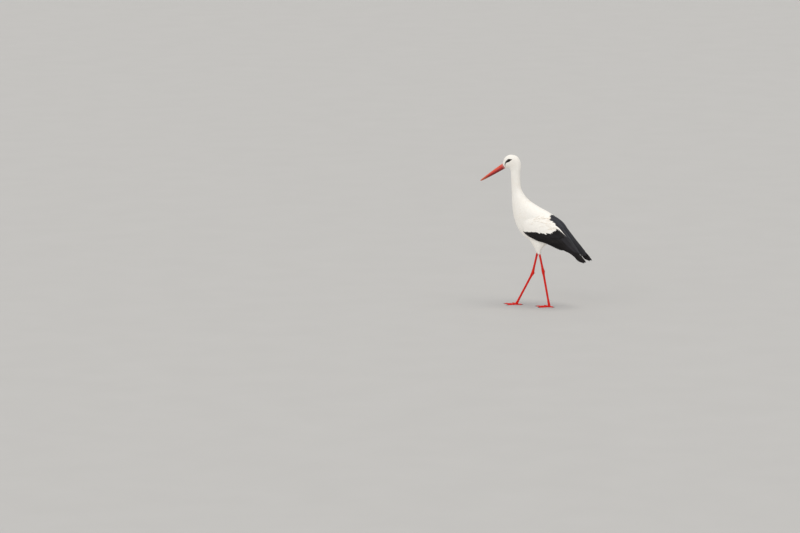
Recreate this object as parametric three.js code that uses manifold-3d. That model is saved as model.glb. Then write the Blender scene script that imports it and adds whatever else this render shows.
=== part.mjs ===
// A life-size model of a white stork in a slow walking stance, in millimetres.
// The bird faces -Y, its left side is +X, and it stands on the floor at z = 0.
// Head, neck, trunk and tail come from one row of cross sections, parted by thin cuts.
import * as THREE from 'three';
import { LoftGeometry } from 'three/addons/geometries/LoftGeometry.js';
import { mergeVertices } from 'three/addons/utils/BufferGeometryUtils.js';
import Module from 'manifold-3d';

// Driving dimensions.
const GAP = 0.3;
const WING_ROOM = 0.6;
const SLIVER = 0.03;
const MIDDLE_BACK = 14;
const HEAD_HEIGHT = 862;
const HEAD_FORWARD = 148;
const HEAD_TURN = THREE.MathUtils.degToRad(20);
const TURN_AXIS_Y = -126;
const BILL_LENGTH = 165.5;
const BILL_DROOP = THREE.MathUtils.degToRad(32.2);
const BILL_BASE_DEPTH = 33;
const BILL_BASE_WIDTH = 25;
const BILL_TIP_DEPTH = 2;
const BILL_TIP_WIDTH = 2.2;
const EYE_RADIUS = 7.6;
const EYE_FORWARD = 17.5;
const EYE_UP = 13.5;
const EYE_APART = 38.2;
const WING_PITCH = THREE.MathUtils.degToRad(30);
const WING_ROOT = new THREE.Vector3(0, -50, 510);
const WING_LENGTH = 460;
const WING_EDGE = 1.1;
const HIP_APART = 80;
const FEET_APART = 16;
const TARSUS_DEEP = 12.8;
const TARSUS_WIDE = 10.8;
const TOE_LENGTHS = { inner: 60, middle: 80, outer: 66, hind: 30 };
const TOE_SPREADS = { inner: -42, middle: 2, outer: 46, hind: 168 };
const TOE_DEPTH = 9.6;
const TOE_SINK = 1.2;
const CLAW_LENGTH = 10;

const finishes = {
  plumage: { color: 0xf3ede0, roughness: 0.85, metalness: 0 },
  flight: { color: 0x1d1a1c, roughness: 0.55, metalness: 0 },
  bill: { color: 0xd2452f, roughness: 0.4, metalness: 0 },
  leg: { color: 0xc8281c, roughness: 0.5, metalness: 0 },
  claw: { color: 0x3a2622, roughness: 0.45, metalness: 0 },
  eye: { color: 0x120c0a, roughness: 0.08, metalness: 0 },
};

const wasm = await Module();
wasm.setup();

// The frame's origin is on the floor under the middle of the bird's length.
const stork = new THREE.Group();
const bird = new THREE.Group();
bird.position.y = -MIDDLE_BACK;
stork.add(bird);

// Adds one named body to a group.
function addPart(group, name, geometry, finish) {
  const mesh = new THREE.Mesh(geometry, new THREE.MeshStandardMaterial(finishes[finish]));
  mesh.name = name;
  group.add(mesh);
  return mesh;
}

// The geometry's points and triangles alone, without normals or a texture layout.
function bareGeometry(geometry) {
  const bare = new THREE.BufferGeometry();
  bare.setAttribute('position', geometry.attributes.position.clone());
  bare.setIndex(geometry.index ? geometry.index.clone() : null);
  return bare;
}

// Turns a closed geometry into a solid for joining and cutting.
function toSolid(geometry) {
  const merged = mergeVertices(bareGeometry(geometry), 1e-4);
  const vertProperties = new Float32Array(merged.attributes.position.array);
  const triVerts = new Uint32Array(merged.index.array);
  return new wasm.Manifold(new wasm.Mesh({ numProp: 3, vertProperties, triVerts }));
}

// Turns a solid back into a geometry, without the slivers that a cut leaves.
function toGeometry(solid) {
  const mesh = solid.simplify(SLIVER).getMesh();
  const geometry = new THREE.BufferGeometry();
  geometry.setAttribute('position', new THREE.BufferAttribute(mesh.vertProperties.slice(), 3));
  geometry.setIndex(new THREE.BufferAttribute(mesh.triVerts.slice(), 1));
  geometry.computeVertexNormals();
  return geometry;
}

// The same geometry on the other side of the bird's middle plane.
function mirrored(geometry) {
  const copy = bareGeometry(geometry);
  copy.scale(-1, 1, 1);
  const index = copy.index;
  for (let i = 0; i < index.count; i += 3) {
    const second = index.getX(i + 1);
    index.setX(i + 1, index.getX(i + 2));
    index.setX(i + 2, second);
  }
  copy.computeVertexNormals();
  return copy;
}

// A closed loft with flat ends through equal rings of points.
function loft(rings) {
  return new LoftGeometry(rings, { closed: true, capStart: true, capEnd: true });
}

// A tube of elliptical rings, each square to the given axis, or else to the path from the ring
// before to the ring after. A ring gives its centre, its width from the bird's left to right
// and its depth the other way. Nothing reaches below the floor.
function limb(rings, sides, axis) {
  const points = rings.map((ring) => new THREE.Vector3(...ring.at));
  const sections = rings.map((ring, i) => {
    const before = points[Math.max(i - 1, 0)];
    const after = points[Math.min(i + 1, points.length - 1)];
    const along = axis ?? after.clone().sub(before).normalize();
    const across = new THREE.Vector3(1, 0, 0).addScaledVector(along, -along.x).normalize();
    const deep = new THREE.Vector3().crossVectors(across, along);
    return Array.from({ length: sides }, (_, j) => {
      const angle = (2 * Math.PI * j) / sides;
      const point = points[i].clone();
      point.addScaledVector(deep, (ring.deep / 2) * Math.cos(angle));
      point.addScaledVector(across, (ring.wide / 2) * Math.sin(angle));
      point.z = Math.max(point.z, 0);
      return point;
    });
  });
  return loft(sections);
}

// The body's cross sections from the bill's base to the tail's tip. Each one runs from a point
// on the upper outline to one on the lower outline, both [Y, Z], and has a full width.
function headSection(topForward, topUp, underForward, underUp, width) {
  return {
    top: [-HEAD_FORWARD - topForward, HEAD_HEIGHT + topUp],
    under: [-HEAD_FORWARD - underForward, HEAD_HEIGHT + underUp],
    width,
  };
}

const bodySections = [
  headSection(53.5, -8.5, 36, -35.5, 26),
  headSection(48, 9.5, 31, -34, 35),
  headSection(36.5, 30.5, 25.5, -33, 43),
  headSection(14, 44, 19, -32.8, 50),
  headSection(-14.5, 44, 13, -34, 54),
  headSection(-39, 32, 8, -39, 55),
  headSection(-54, 4, 4.5, -48.5, 53),
  headSection(-57.5, -27, 2.5, -59, 50.5),
  { top: [-94.5, 801], under: [-150.5, 788], width: 49.5 },
  { top: [-94, 748], under: [-148, 733], width: 50 },
  { top: [-88, 703], under: [-145.5, 679], width: 56 },
  { top: [-62, 660], under: [-142, 619], width: 78 },
  { top: [-20, 625], under: [-134, 556], width: 104 },
  { top: [34, 596], under: [-113, 487], width: 120 },
  { top: [88, 571], under: [-76, 431], width: 125 },
  { top: [134, 541], under: [-18, 396], width: 124 },
  { top: [162, 489], under: [58, 387], width: 110 },
  { top: [187, 446], under: [128, 381], width: 82 },
  { top: [216, 407], under: [186, 363], width: 66 },
  { top: [259, 363], under: [247, 340], width: 66 },
  { top: [294, 330], under: [289, 319], width: 66 },
  { top: [312, 314], under: [310, 309], width: 40 },
];
const HEAD_END = 7.6;
const NECK_END = 11;
const TRUNK_END = 17.6;
const BODY_END = bodySections.length - 1;

const outline = (key) => new THREE.CatmullRomCurve3(
  bodySections.map((section) => new THREE.Vector3(0, section[key][0], section[key][1])),
);
const topOutline = outline('top');
const underOutline = outline('under');
const SECTION_STEP = 20;
const widthCurve = new THREE.CatmullRomCurve3(
  bodySections.map((section, i) => new THREE.Vector3(section.width, SECTION_STEP * i, 0)),
);
const BODY_POWER = 2.15;
const TOP_HEAVY = 0.06;

// Turns a point with the head, by a share of the head's turn, about the top of the neck.
function turned(point, share) {
  const angle = HEAD_TURN * share;
  const back = point.y - TURN_AXIS_Y;
  return new THREE.Vector3(
    point.x * Math.cos(angle) - back * Math.sin(angle),
    TURN_AXIS_Y + point.x * Math.sin(angle) + back * Math.cos(angle),
    point.z,
  );
}

// One ring of the body. The position counts cross sections, and grow widens the ring all round.
function bodyRing(position, sides, grow) {
  const t = position / BODY_END;
  const top = topOutline.getPoint(t);
  const under = underOutline.getPoint(t);
  const half = widthCurve.getPoint(t).x / 2 + grow;
  const centre = top.clone().add(under).multiplyScalar(0.5);
  const upward = top.clone().sub(under).multiplyScalar(0.5);
  upward.setLength(upward.length() + grow);
  const turnShare = 1 - THREE.MathUtils.smoothstep(position, HEAD_END - 1, NECK_END - 1);
  const tailShare = THREE.MathUtils.smoothstep(position, TRUNK_END, BODY_END - 1);
  const power = BODY_POWER + tailShare;
  return Array.from({ length: sides }, (_, j) => {
    const angle = (2 * Math.PI * j) / sides;
    const c = Math.cos(angle);
    const s = Math.sin(angle);
    const fill = (Math.abs(c) ** power + Math.abs(s) ** power) ** (-1 / power);
    const point = centre.clone().addScaledVector(upward, c * fill);
    point.x = half * s * fill * (1 + TOP_HEAVY * c);
    return turned(point, turnShare);
  });
}

function bodyPiece(from, to, steps, sides, grow = 0) {
  const rings = Array.from({ length: steps + 1 }, (_, i) => (
    bodyRing(from + ((to - from) * i) / steps, sides, grow)
  ));
  return loft(rings);
}

// A point given in the head's own directions: to its left, forward and up from its centre.
function headPoint(left, forward, up) {
  return turned(new THREE.Vector3(left, -HEAD_FORWARD - forward, HEAD_HEIGHT + up), 1);
}

// The bill, in the head's directions. Both halves taper to the tip and part along a flat line.
// Each half has its share of the bill's depth, and tapers by its own power.
const BILL_BASE = [45.9, -22.7];
const BILL_RINGS = 9;
const BILL_ARC = 8;
const BILL_PINCH = 0.28;
const BILL_ROUNDING = 0.9;
const billHalves = {
  upper: { side: 1, share: 0.52, power: 0.7 },
  lower: { side: -1, share: 0.48, power: 0.48 },
};

function billHalf({ side, share, power }) {
  const rings = [];
  for (let i = 0; i <= BILL_RINGS; i += 1) {
    const toTip = i / BILL_RINGS;
    const taper = 1 - toTip;
    const along = toTip * BILL_LENGTH;
    const depth = share * (BILL_BASE_DEPTH * taper ** power + BILL_TIP_DEPTH * toTip);
    const narrowing = THREE.MathUtils.lerp(taper, taper ** 3, BILL_PINCH);
    const half = (BILL_BASE_WIDTH * narrowing + BILL_TIP_WIDTH * toTip) / 2;
    const ring = [];
    for (let j = 0; j <= BILL_ARC; j += 1) {
      const angle = (Math.PI * j) / BILL_ARC;
      const outward = half * Math.cos(angle);
      const off = (GAP / 2 + depth * Math.sin(angle) ** BILL_ROUNDING) * side;
      const forward = BILL_BASE[0] + GAP + along * Math.cos(BILL_DROOP) + off * Math.sin(BILL_DROOP);
      const up = BILL_BASE[1] - along * Math.sin(BILL_DROOP) + off * Math.cos(BILL_DROOP);
      ring.push(headPoint(outward, forward, up));
    }
    rings.push(side > 0 ? ring : ring.reverse());
  }
  return loft(rings);
}

// The folded wing, in its own directions: along it to the tip, across it upward, and out from
// the bird's middle plane. A section runs from its ridge, near the middle plane over the tail,
// out to the crest and down to the lower hem.
const wingSections = [
  { along: 2, ridge: [51.5, 22.5], crest: [53, 22], hem: [54, -16], bulge: 5, thick: 10 },
  { along: 24, ridge: [49, 55.5], crest: [53, 54], hem: [60, -43.5], bulge: 14, thick: 23 },
  { along: 75, ridge: [42, 91.5], crest: [50, 88], hem: [68, -49], bulge: 21, thick: 29 },
  { along: 130, ridge: [22, 115.5], crest: [51, 104], hem: [74, -38.5], bulge: 21, thick: 30 },
  { along: 185, ridge: [8, 107], crest: [57, 104], hem: [77, -21], bulge: 18, thick: 27 },
  { along: 240, ridge: [5, 84], crest: [59, 82.5], hem: [77, -11], bulge: 13, thick: 21 },
  { along: 300, ridge: [5, 60], crest: [58, 61.5], hem: [73, -2.5], bulge: 8, thick: 15 },
  { along: 352, ridge: [8, 40], crest: [55, 45.5], hem: [66, 6], bulge: 5, thick: 10.5 },
  { along: 384, ridge: [16, 27], crest: [52.5, 35], hem: [60, 1], bulge: 3.5, thick: 8 },
  { along: 402, ridge: [24, 23], crest: [51.5, 31], hem: [57, -7], bulge: 2.6, thick: 6.6 },
  { along: 432, ridge: [37, 16], crest: [50.5, 22.5], hem: [53, -12.5], bulge: 1.6, thick: 4.6 },
  { along: 452, ridge: [43, 9], crest: [50, 13.5], hem: [50.5, -11], bulge: 0.8, thick: 3 },
  { along: WING_LENGTH, ridge: [46, 5], crest: [50, 7.5], hem: [50, -7], bulge: 0.3, thick: 2.2 },
];
const ROOF_THICK = 3;
const ROOF_ARCH = 3;
const wingFrame = new THREE.Matrix4().makeBasis(
  new THREE.Vector3(0, Math.cos(WING_PITCH), -Math.sin(WING_PITCH)),
  new THREE.Vector3(0, Math.sin(WING_PITCH), Math.cos(WING_PITCH)),
  new THREE.Vector3(1, 0, 0),
).setPosition(WING_ROOT);

const wingCurve = (pick) => new THREE.CatmullRomCurve3(
  wingSections.map((section) => new THREE.Vector3(section.along, ...pick(section))),
);
const ridgeCurve = wingCurve((section) => section.ridge);
const crestCurve = wingCurve((section) => section.crest);
const hemCurve = wingCurve((section) => section.hem);
const swellCurve = wingCurve((section) => [section.bulge, section.thick]);
const WING_RINGS = 20;
const WING_ARC = 7;

// The wing as one solid, grown all round where its room is cut from its neighbours.
function wingShell(grow) {
  const rings = [];
  for (let i = 0; i <= WING_RINGS; i += 1) {
    const t = i / WING_RINGS;
    const [ridge, crest, hem, swell] = [ridgeCurve, crestCurve, hemCurve, swellCurve].map(
      (curve) => curve.getPoint(t),
    );
    const along = crest.x + (i === 0 ? -grow : 0) + (i === WING_RINGS ? grow : 0);
    const side = (v, off) => new THREE.Vector3(
      along,
      THREE.MathUtils.lerp(crest.z, hem.z, v) + grow * (1 - 2 * v),
      THREE.MathUtils.lerp(crest.y, hem.y, v) + off,
    );
    const belly = (v) => Math.sin(Math.PI * v) ** 0.8;
    const ring = [
      new THREE.Vector3(along, ridge.z + grow, ridge.y - grow),
      new THREE.Vector3(
        along,
        (ridge.z + crest.z) / 2 + ROOF_ARCH + grow,
        (ridge.y + crest.y) / 2,
      ),
    ];
    for (let j = 0; j <= WING_ARC; j += 1) {
      const v = j / WING_ARC;
      ring.push(side(v, swell.y * belly(v) + WING_EDGE + grow));
    }
    const roof = Math.min(ROOF_THICK, 0.3 * (crest.z - hem.z)) + grow;
    const eaves = (roof + grow) / (crest.z - hem.z + 2 * grow);
    for (let j = WING_ARC; j >= 0; j -= 1) {
      const v = THREE.MathUtils.lerp(eaves, 1, j / WING_ARC);
      ring.push(side(v, (swell.y - swell.z) * belly(v) - WING_EDGE - grow));
    }
    ring.push(new THREE.Vector3(along, ridge.z - roof, ridge.y - grow));
    rings.push(ring);
  }
  return loft(rings).applyMatrix4(wingFrame);
}

// A slab cut to a side-view outline of the wing, in the wing's own directions.
const SLAB_DEPTH = 100;

function wingSlab(corners) {
  const shape = new THREE.Shape(corners.map(([along, across]) => new THREE.Vector2(along, across)));
  const slab = new THREE.ExtrudeGeometry(shape, { depth: SLAB_DEPTH, bevelEnabled: false });
  return slab.applyMatrix4(wingFrame);
}

// Where the wing's coverts end and its flight feathers begin, and where the primaries emerge.
const COVERT_EDGE = [[21, -60], [30, -44], [126, 16], [167, 34], [192, 53], [210, 86], [216, 130]];
const PRIMARY_EDGE = [[396, -40], [372, 14], [392, 60]];
function shifted(edge, amount) {
  return edge.map(([along, across]) => [along + amount, across]);
}

function addWing(name, flip) {
  const shell = toSolid(wingShell(0));
  const regions = {
    coverts: [[-20, -60], ...shifted(COVERT_EDGE, -GAP), [-20, 130]],
    secondaries: [
      ...shifted(COVERT_EDGE, GAP).reverse(),
      [380, -60],
      ...shifted(PRIMARY_EDGE, -GAP),
      [380, 130],
    ],
    primaries: [...shifted(PRIMARY_EDGE, GAP).reverse(), [480, -40], [480, 60]],
  };
  for (const [region, corners] of Object.entries(regions)) {
    const piece = toGeometry(shell.intersect(toSolid(wingSlab(corners))));
    const finish = region === 'coverts' ? 'plumage' : 'flight';
    addPart(bird, `wing_${name}_${region}`, flip ? mirrored(piece) : piece, finish);
  }
}

// The legs. The left one trails and the right one leads, with both feet flat on the floor.
const legs = {
  left: { side: 1, knee: [30, 405], cuff: [46.7, 329], ankle: [66.7, 218], foot: [96.7, 12] },
  right: { side: -1, knee: [5, 405], cuff: [2.3, 320], ankle: [-23.2, 196], foot: [-117.7, 12] },
};
const ANKLE_DEEP = 20;
const ANKLE_WIDE = 17;
const ANKLE_TOP_DEEP = 15.6;
const ANKLE_TOP_WIDE = 13.6;
const ANKLE_FOOT_DEEP = 15;
const ANKLE_FOOT_WIDE = 13;
const SHANK_DEEP = 12.8;
const SHANK_WIDE = 10.8;
const THIGH_LEAN = 0.12;
const THIGH_LEAN_FROM = 340;
const THIGH_FLARE = [
  { down: -28, back: -10, deep: 106, wide: 30 },
  { down: -12, back: 0, deep: 112, wide: 44 },
  { down: 0.1, back: 12, deep: 104, wide: 48 },
  { down: 0.36, back: 11, deep: 82, wide: 43 },
  { down: 0.6, back: 4, deep: 52, wide: 34 },
  { down: 0.82, back: -1, deep: 31, wide: 25 },
  { down: 1, back: 0, deep: 19, wide: 18 },
];

// Where the leg is at a height, leaning in from the hip to the foot.
function legX(leg, z) {
  return leg.side * THREE.MathUtils.mapLinear(z, 12, 320, FEET_APART / 2, HIP_APART / 2);
}

// The direction of the upper leg, down from the thigh's cuff to the ankle.
function shankAxis(leg) {
  const cuff = new THREE.Vector3(legX(leg, leg.cuff[1]), ...leg.cuff);
  return new THREE.Vector3(legX(leg, leg.ankle[1]), ...leg.ankle).sub(cuff).normalize();
}

function thighLoft(leg) {
  const rings = THIGH_FLARE.map(({ down, back, deep, wide }) => {
    const share = Math.max(down, 0);
    const y = THREE.MathUtils.lerp(leg.knee[0], leg.cuff[0], share);
    const z = THREE.MathUtils.lerp(leg.knee[1], leg.cuff[1], share) - Math.min(down, 0);
    const out = HIP_APART / 2 - THIGH_LEAN * Math.max(z - THIGH_LEAN_FROM, 0);
    return { at: [leg.side * out, y + back, z], deep, wide };
  });
  return limb(rings, 18, shankAxis(leg));
}

// One length of the bare leg between two points, with its thickness at each share of the way.
function legLength(leg, from, to, startCut, endCut, profile) {
  const start = new THREE.Vector3(legX(leg, from[1]), ...from);
  const end = new THREE.Vector3(legX(leg, to[1]), ...to);
  const length = start.distanceTo(end);
  const rings = profile.map(([share, deep, wide]) => {
    const along = THREE.MathUtils.lerp(startCut, length - endCut, share) / length;
    return { at: start.clone().lerp(end, along).toArray(), deep, wide };
  });
  return limb(rings, 12);
}

const ANKLE_REACH = 15;
const FOOT_REACH = 16;

function addLeg(name, leg, trunk) {
  const thigh = toSolid(thighLoft(leg));
  const wing = wingShell(WING_ROOM);
  const clearance = toSolid(leg.side > 0 ? wing : mirrored(wing));
  addPart(bird, `thigh_${name}`, toGeometry(thigh.subtract(trunk).subtract(clearance)), 'plumage');
  const shank = legLength(leg, leg.cuff, leg.ankle, GAP, ANKLE_REACH + GAP / 2, [
    [0, SHANK_DEEP + 0.6, SHANK_WIDE + 0.6],
    [0.5, SHANK_DEEP, SHANK_WIDE],
    [0.8, SHANK_DEEP + 1, SHANK_WIDE + 0.8],
    [1, ANKLE_TOP_DEEP, ANKLE_TOP_WIDE],
  ]);
  addPart(bird, `shank_${name}`, shank, 'leg');
  addPart(bird, `ankle_${name}`, ankleJoint(leg), 'leg');
  const tarsus = legLength(leg, leg.ankle, leg.foot, ANKLE_REACH + GAP / 2, FOOT_REACH + GAP, [
    [0, ANKLE_FOOT_DEEP, ANKLE_FOOT_WIDE],
    [0.12, TARSUS_DEEP + 0.6, TARSUS_WIDE + 0.4],
    [0.5, TARSUS_DEEP, TARSUS_WIDE],
    [0.85, TARSUS_DEEP, TARSUS_WIDE + 0.6],
    [1, TARSUS_DEEP + 1, TARSUS_WIDE + 2],
  ]);
  addPart(bird, `tarsus_${name}`, tarsus, 'leg');
  addFoot(name, leg);
}

// The ankle swells where the two leg bones meet, and bends with them. Its heel stands back.
const HEEL_BACK = 1.2;

function ankleJoint(leg) {
  const centre = new THREE.Vector3(legX(leg, leg.ankle[1]), ...leg.ankle);
  const above = new THREE.Vector3(legX(leg, leg.cuff[1]), ...leg.cuff).sub(centre).normalize();
  const below = new THREE.Vector3(legX(leg, leg.foot[1]), ...leg.foot).sub(centre).normalize();
  const heel = new THREE.Vector3(0, 1, 0);
  const rings = [
    [above, ANKLE_REACH - GAP / 2, ANKLE_TOP_DEEP, ANKLE_TOP_WIDE],
    [above, 10, ANKLE_DEEP - 2, ANKLE_WIDE - 1.6],
    [heel, HEEL_BACK, ANKLE_DEEP, ANKLE_WIDE],
    [below, 9, ANKLE_DEEP - 2.6, ANKLE_WIDE - 1.8],
    [below, ANKLE_REACH - GAP / 2, ANKLE_FOOT_DEEP, ANKLE_FOOT_WIDE],
  ].map(([way, reach, deep, wide]) => (
    { at: centre.clone().addScaledVector(way, reach).toArray(), deep, wide }
  ));
  return limb(rings, 14);
}

const TOE_AXIS = new THREE.Vector3(0, -1, 0);
const TOE_TAPER = 0.3;
const PAD_SWELL = 0.5;
const PAD_SPACING = 22;
const ARCH_RISE = 4.2;
const ARCH_LENGTH = 16;

// A toe's depth at a distance along it: it tapers, and swells a little at each joint's pad.
function toeDepth(distance, length) {
  const pads = PAD_SWELL * Math.cos((2 * Math.PI * distance) / PAD_SPACING);
  return TOE_DEPTH * (1 - TOE_TAPER * (distance / length)) + pads;
}

// A stretch of one toe along -Y. Its underside is flat on the floor away from the knuckle.
function toeStretch(from, to, length, steps) {
  const rings = [];
  for (let i = 0; i <= steps; i += 1) {
    const distance = THREE.MathUtils.lerp(from, to, i / steps);
    const deep = toeDepth(distance, length);
    const lift = ARCH_RISE * Math.max(0, 1 - distance / ARCH_LENGTH) ** 2;
    rings.push({ at: [0, -distance, deep / 2 - TOE_SINK + lift], deep, wide: deep });
  }
  return limb(rings, 10, TOE_AXIS);
}

// A blunt claw that goes on from the toe's end. Each ring's sizes are shares of the toe's depth.
function clawLoft(length) {
  const tip = toeDepth(length, length);
  const rings = [
    [0, 0.56, 0.62, 0.56],
    [0.35, 0.5, 0.52, 0.5],
    [0.7, 0.34, 0.36, 0.34],
    [1, 0.14, 0.16, 0.15],
  ].map(([share, deep, wide, height]) => (
    {
      at: [0, -length - GAP - CLAW_LENGTH * share, tip * height],
      deep: tip * deep,
      wide: tip * wide,
    }
  ));
  return limb(rings, 8, TOE_AXIS);
}

const KNUCKLE_REACH = { inner: 18, middle: 17, outer: 18, hind: 12 };

// The knuckle where the toes meet, with the short webs between the front toes.
function addFoot(name, leg) {
  const foot = new THREE.Group();
  foot.position.set(leg.side * (FEET_APART / 2), leg.foot[0], 0);
  bird.add(foot);
  const ankle = new THREE.Vector3(legX(leg, leg.ankle[1]), ...leg.ankle).sub(foot.position);
  const top = new THREE.Vector3(0, 0, leg.foot[1]);
  const up = ankle.clone().sub(top).normalize();
  const upLeg = (reach) => top.clone().addScaledVector(up, reach).toArray();
  let solid = toSolid(limb([
    { at: upLeg(FOOT_REACH), deep: TARSUS_DEEP + 1, wide: TARSUS_WIDE + 2 },
    { at: upLeg(7), deep: 14.6, wide: 14.6 },
    { at: upLeg(0), deep: 16, wide: 17 },
    { at: [0, 0, 4], deep: 16, wide: 17 },
    { at: [0, 0, 0], deep: 12, wide: 13 },
  ], 12));
  for (const [toe, length] of Object.entries(TOE_LENGTHS)) {
    const turn = THREE.MathUtils.degToRad(TOE_SPREADS[toe]) * leg.side;
    const reach = KNUCKLE_REACH[toe];
    const stub = toeStretch(0, reach, length, 2);
    stub.rotateZ(turn);
    solid = solid.add(toSolid(stub));
    const stretch = toeStretch(reach + GAP, length, length, 6);
    const body = addPart(foot, `toe_${name}_${toe}`, stretch, 'leg');
    body.rotation.z = turn;
    const claw = addPart(foot, `claw_${name}_${toe}`, clawLoft(length), 'claw');
    claw.rotation.z = turn;
  }
  addPart(foot, `foot_${name}`, toGeometry(solid), 'leg');
}

// The head, with sockets for the eyes.
function eyeBall(side, radius) {
  const ball = new THREE.SphereGeometry(radius, 14, 9);
  const place = headPoint((side * EYE_APART) / 2, EYE_FORWARD, EYE_UP);
  return ball.translate(place.x, place.y, place.z);
}

function addHead() {
  let skull = toSolid(bodyPiece(0, HEAD_END, 12, 24));
  for (const [name, side] of [['left', 1], ['right', -1]]) {
    skull = skull.subtract(toSolid(eyeBall(side, EYE_RADIUS + GAP)));
    addPart(bird, `eye_${name}`, eyeBall(side, EYE_RADIUS), 'eye');
  }
  addPart(bird, 'head', toGeometry(skull), 'plumage');
  for (const [half, sizes] of Object.entries(billHalves)) {
    addPart(bird, `bill_${half}`, billHalf(sizes), 'bill');
  }
}

// The neck, trunk and tail. The trunk and tail are cut back where the folded wings lie on them.
const CUT = 0.02;

function addBody() {
  addPart(bird, 'neck', bodyPiece(HEAD_END + CUT, NECK_END - CUT, 7, 22), 'plumage');
  const wing = wingShell(WING_ROOM);
  const clearance = toSolid(wing).add(toSolid(mirrored(wing)));
  const trunk = toSolid(bodyPiece(NECK_END + CUT, TRUNK_END - CUT, 13, 26));
  addPart(bird, 'trunk', toGeometry(trunk.subtract(clearance)), 'plumage');
  const tail = toSolid(bodyPiece(TRUNK_END + CUT, BODY_END, 7, 18));
  addPart(bird, 'tail', toGeometry(tail.subtract(clearance)), 'plumage');
}

addHead();
addBody();
addWing('left', false);
addWing('right', true);
const trunkClearance = toSolid(bodyPiece(NECK_END, TRUNK_END, 13, 26, GAP));
for (const [name, leg] of Object.entries(legs)) {
  addLeg(name, leg, trunkClearance);
}

export default stork;
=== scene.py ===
import math

import bpy
import numpy as np
from mathutils import Matrix, Vector


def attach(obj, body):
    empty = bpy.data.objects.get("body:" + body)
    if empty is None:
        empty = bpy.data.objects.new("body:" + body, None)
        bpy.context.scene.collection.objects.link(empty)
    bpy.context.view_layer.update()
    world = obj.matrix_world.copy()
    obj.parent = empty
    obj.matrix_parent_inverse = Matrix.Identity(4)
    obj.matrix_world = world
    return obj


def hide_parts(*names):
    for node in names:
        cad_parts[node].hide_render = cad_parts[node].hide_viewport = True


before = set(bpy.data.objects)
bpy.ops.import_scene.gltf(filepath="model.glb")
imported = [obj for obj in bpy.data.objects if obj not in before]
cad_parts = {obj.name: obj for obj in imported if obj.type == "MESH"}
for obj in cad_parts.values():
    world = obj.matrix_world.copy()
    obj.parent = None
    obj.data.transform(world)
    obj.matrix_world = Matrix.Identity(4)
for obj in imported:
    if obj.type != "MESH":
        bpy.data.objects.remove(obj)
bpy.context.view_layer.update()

# ---- Sizes, in millimetres. The bird faces -Y, and its left is +X ----
MM = 0.001
MIDDLE_BACK = 14.0
HEAD_HEIGHT = 862.0
HEAD_FORWARD = 148.0
HEAD_TURN = math.radians(20)
TURN_AXIS_Y = -126.0
BILL_LENGTH = 165.5
BILL_DROOP = math.radians(32.2)
BILL_BASE_DEPTH = 33.0
BILL_BASE_WIDTH = 25.0
BILL_BASE = (45.9, -22.7)
EYE_RADIUS = 7.6
EYE_PLACE = (19.1, 17.5, 13.5)
FEET_APART = 16.0
HIP_APART = 80.0

rng = np.random.default_rng(4)


def head_section(top_forward, top_up, under_forward, under_up, width):
    top = (-HEAD_FORWARD - top_forward, HEAD_HEIGHT + top_up)
    under = (-HEAD_FORWARD - under_forward, HEAD_HEIGHT + under_up)
    return top, under, width


# The body from the bill's base to the tail's tip: upper outline, lower outline and full width.
BODY_SECTIONS = [
    head_section(53.5, -8.5, 36, -35.5, 26),
    head_section(48, 9.5, 31, -34, 35),
    head_section(36.5, 30.5, 25.5, -33, 43),
    head_section(14, 44, 19, -32.8, 50),
    head_section(-14.5, 44, 13, -34, 54),
    head_section(-39, 32, 8, -39, 55),
    head_section(-54, 4, 4.5, -48.5, 53),
    head_section(-57.5, -27, 2.5, -59, 50.5),
    ((-94.5, 801), (-150.5, 788), 49.5),
    ((-94, 748), (-148, 733), 50),
    ((-88, 703), (-145.5, 679), 56),
    ((-62, 660), (-142, 619), 78),
    ((-20, 625), (-134, 556), 104),
    ((34, 596), (-113, 487), 120),
    ((88, 571), (-76, 431), 125),
    ((134, 541), (-18, 396), 124),
    ((162, 489), (58, 387), 110),
    ((187, 446), (128, 381), 82),
    ((216, 407), (186, 363), 66),
    ((259, 363), (247, 340), 66),
    ((294, 330), (289, 319), 66),
    ((312, 314), (310, 309), 40),
]
HEAD_END = 7.6
NECK_END = 11.0
TRUNK_END = 17.6
BODY_END = len(BODY_SECTIONS) - 1
SECTION_GAP = 20.0
# How square the body's sections are, and how much wider above the middle than below it.
SQUARENESS = 2.15
TOP_HEAVY = 0.06

# The folded wing, along it, with the inner ridge, the crest and the lower hem as (out, across).
WING_PITCH = math.radians(30)
WING_ROOT = np.array([0.0, -50.0, 510.0])
WING_LENGTH = 460.0
WING_SECTIONS = [
    (2, (51.5, 22.5), (53, 22), (54, -16), 5),
    (24, (49, 55.5), (53, 54), (60, -43.5), 14),
    (75, (42, 91.5), (50, 88), (68, -49), 21),
    (130, (22, 115.5), (51, 104), (74, -38.5), 21),
    (185, (8, 107), (57, 104), (77, -21), 18),
    (240, (5, 84), (59, 82.5), (77, -11), 13),
    (300, (5, 60), (58, 61.5), (73, -2.5), 8),
    (352, (8, 40), (55, 45.5), (66, 6), 5),
    (384, (16, 27), (52.5, 35), (60, 1), 3.5),
    (402, (24, 23), (51.5, 31), (57, -7), 2.6),
    (432, (37, 16), (50.5, 22.5), (53, -12.5), 1.6),
    (452, (43, 9), (50, 13.5), (50.5, -11), 0.8),
    (WING_LENGTH, (46, 5), (50, 7.5), (50, -7), 0.3),
]

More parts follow.
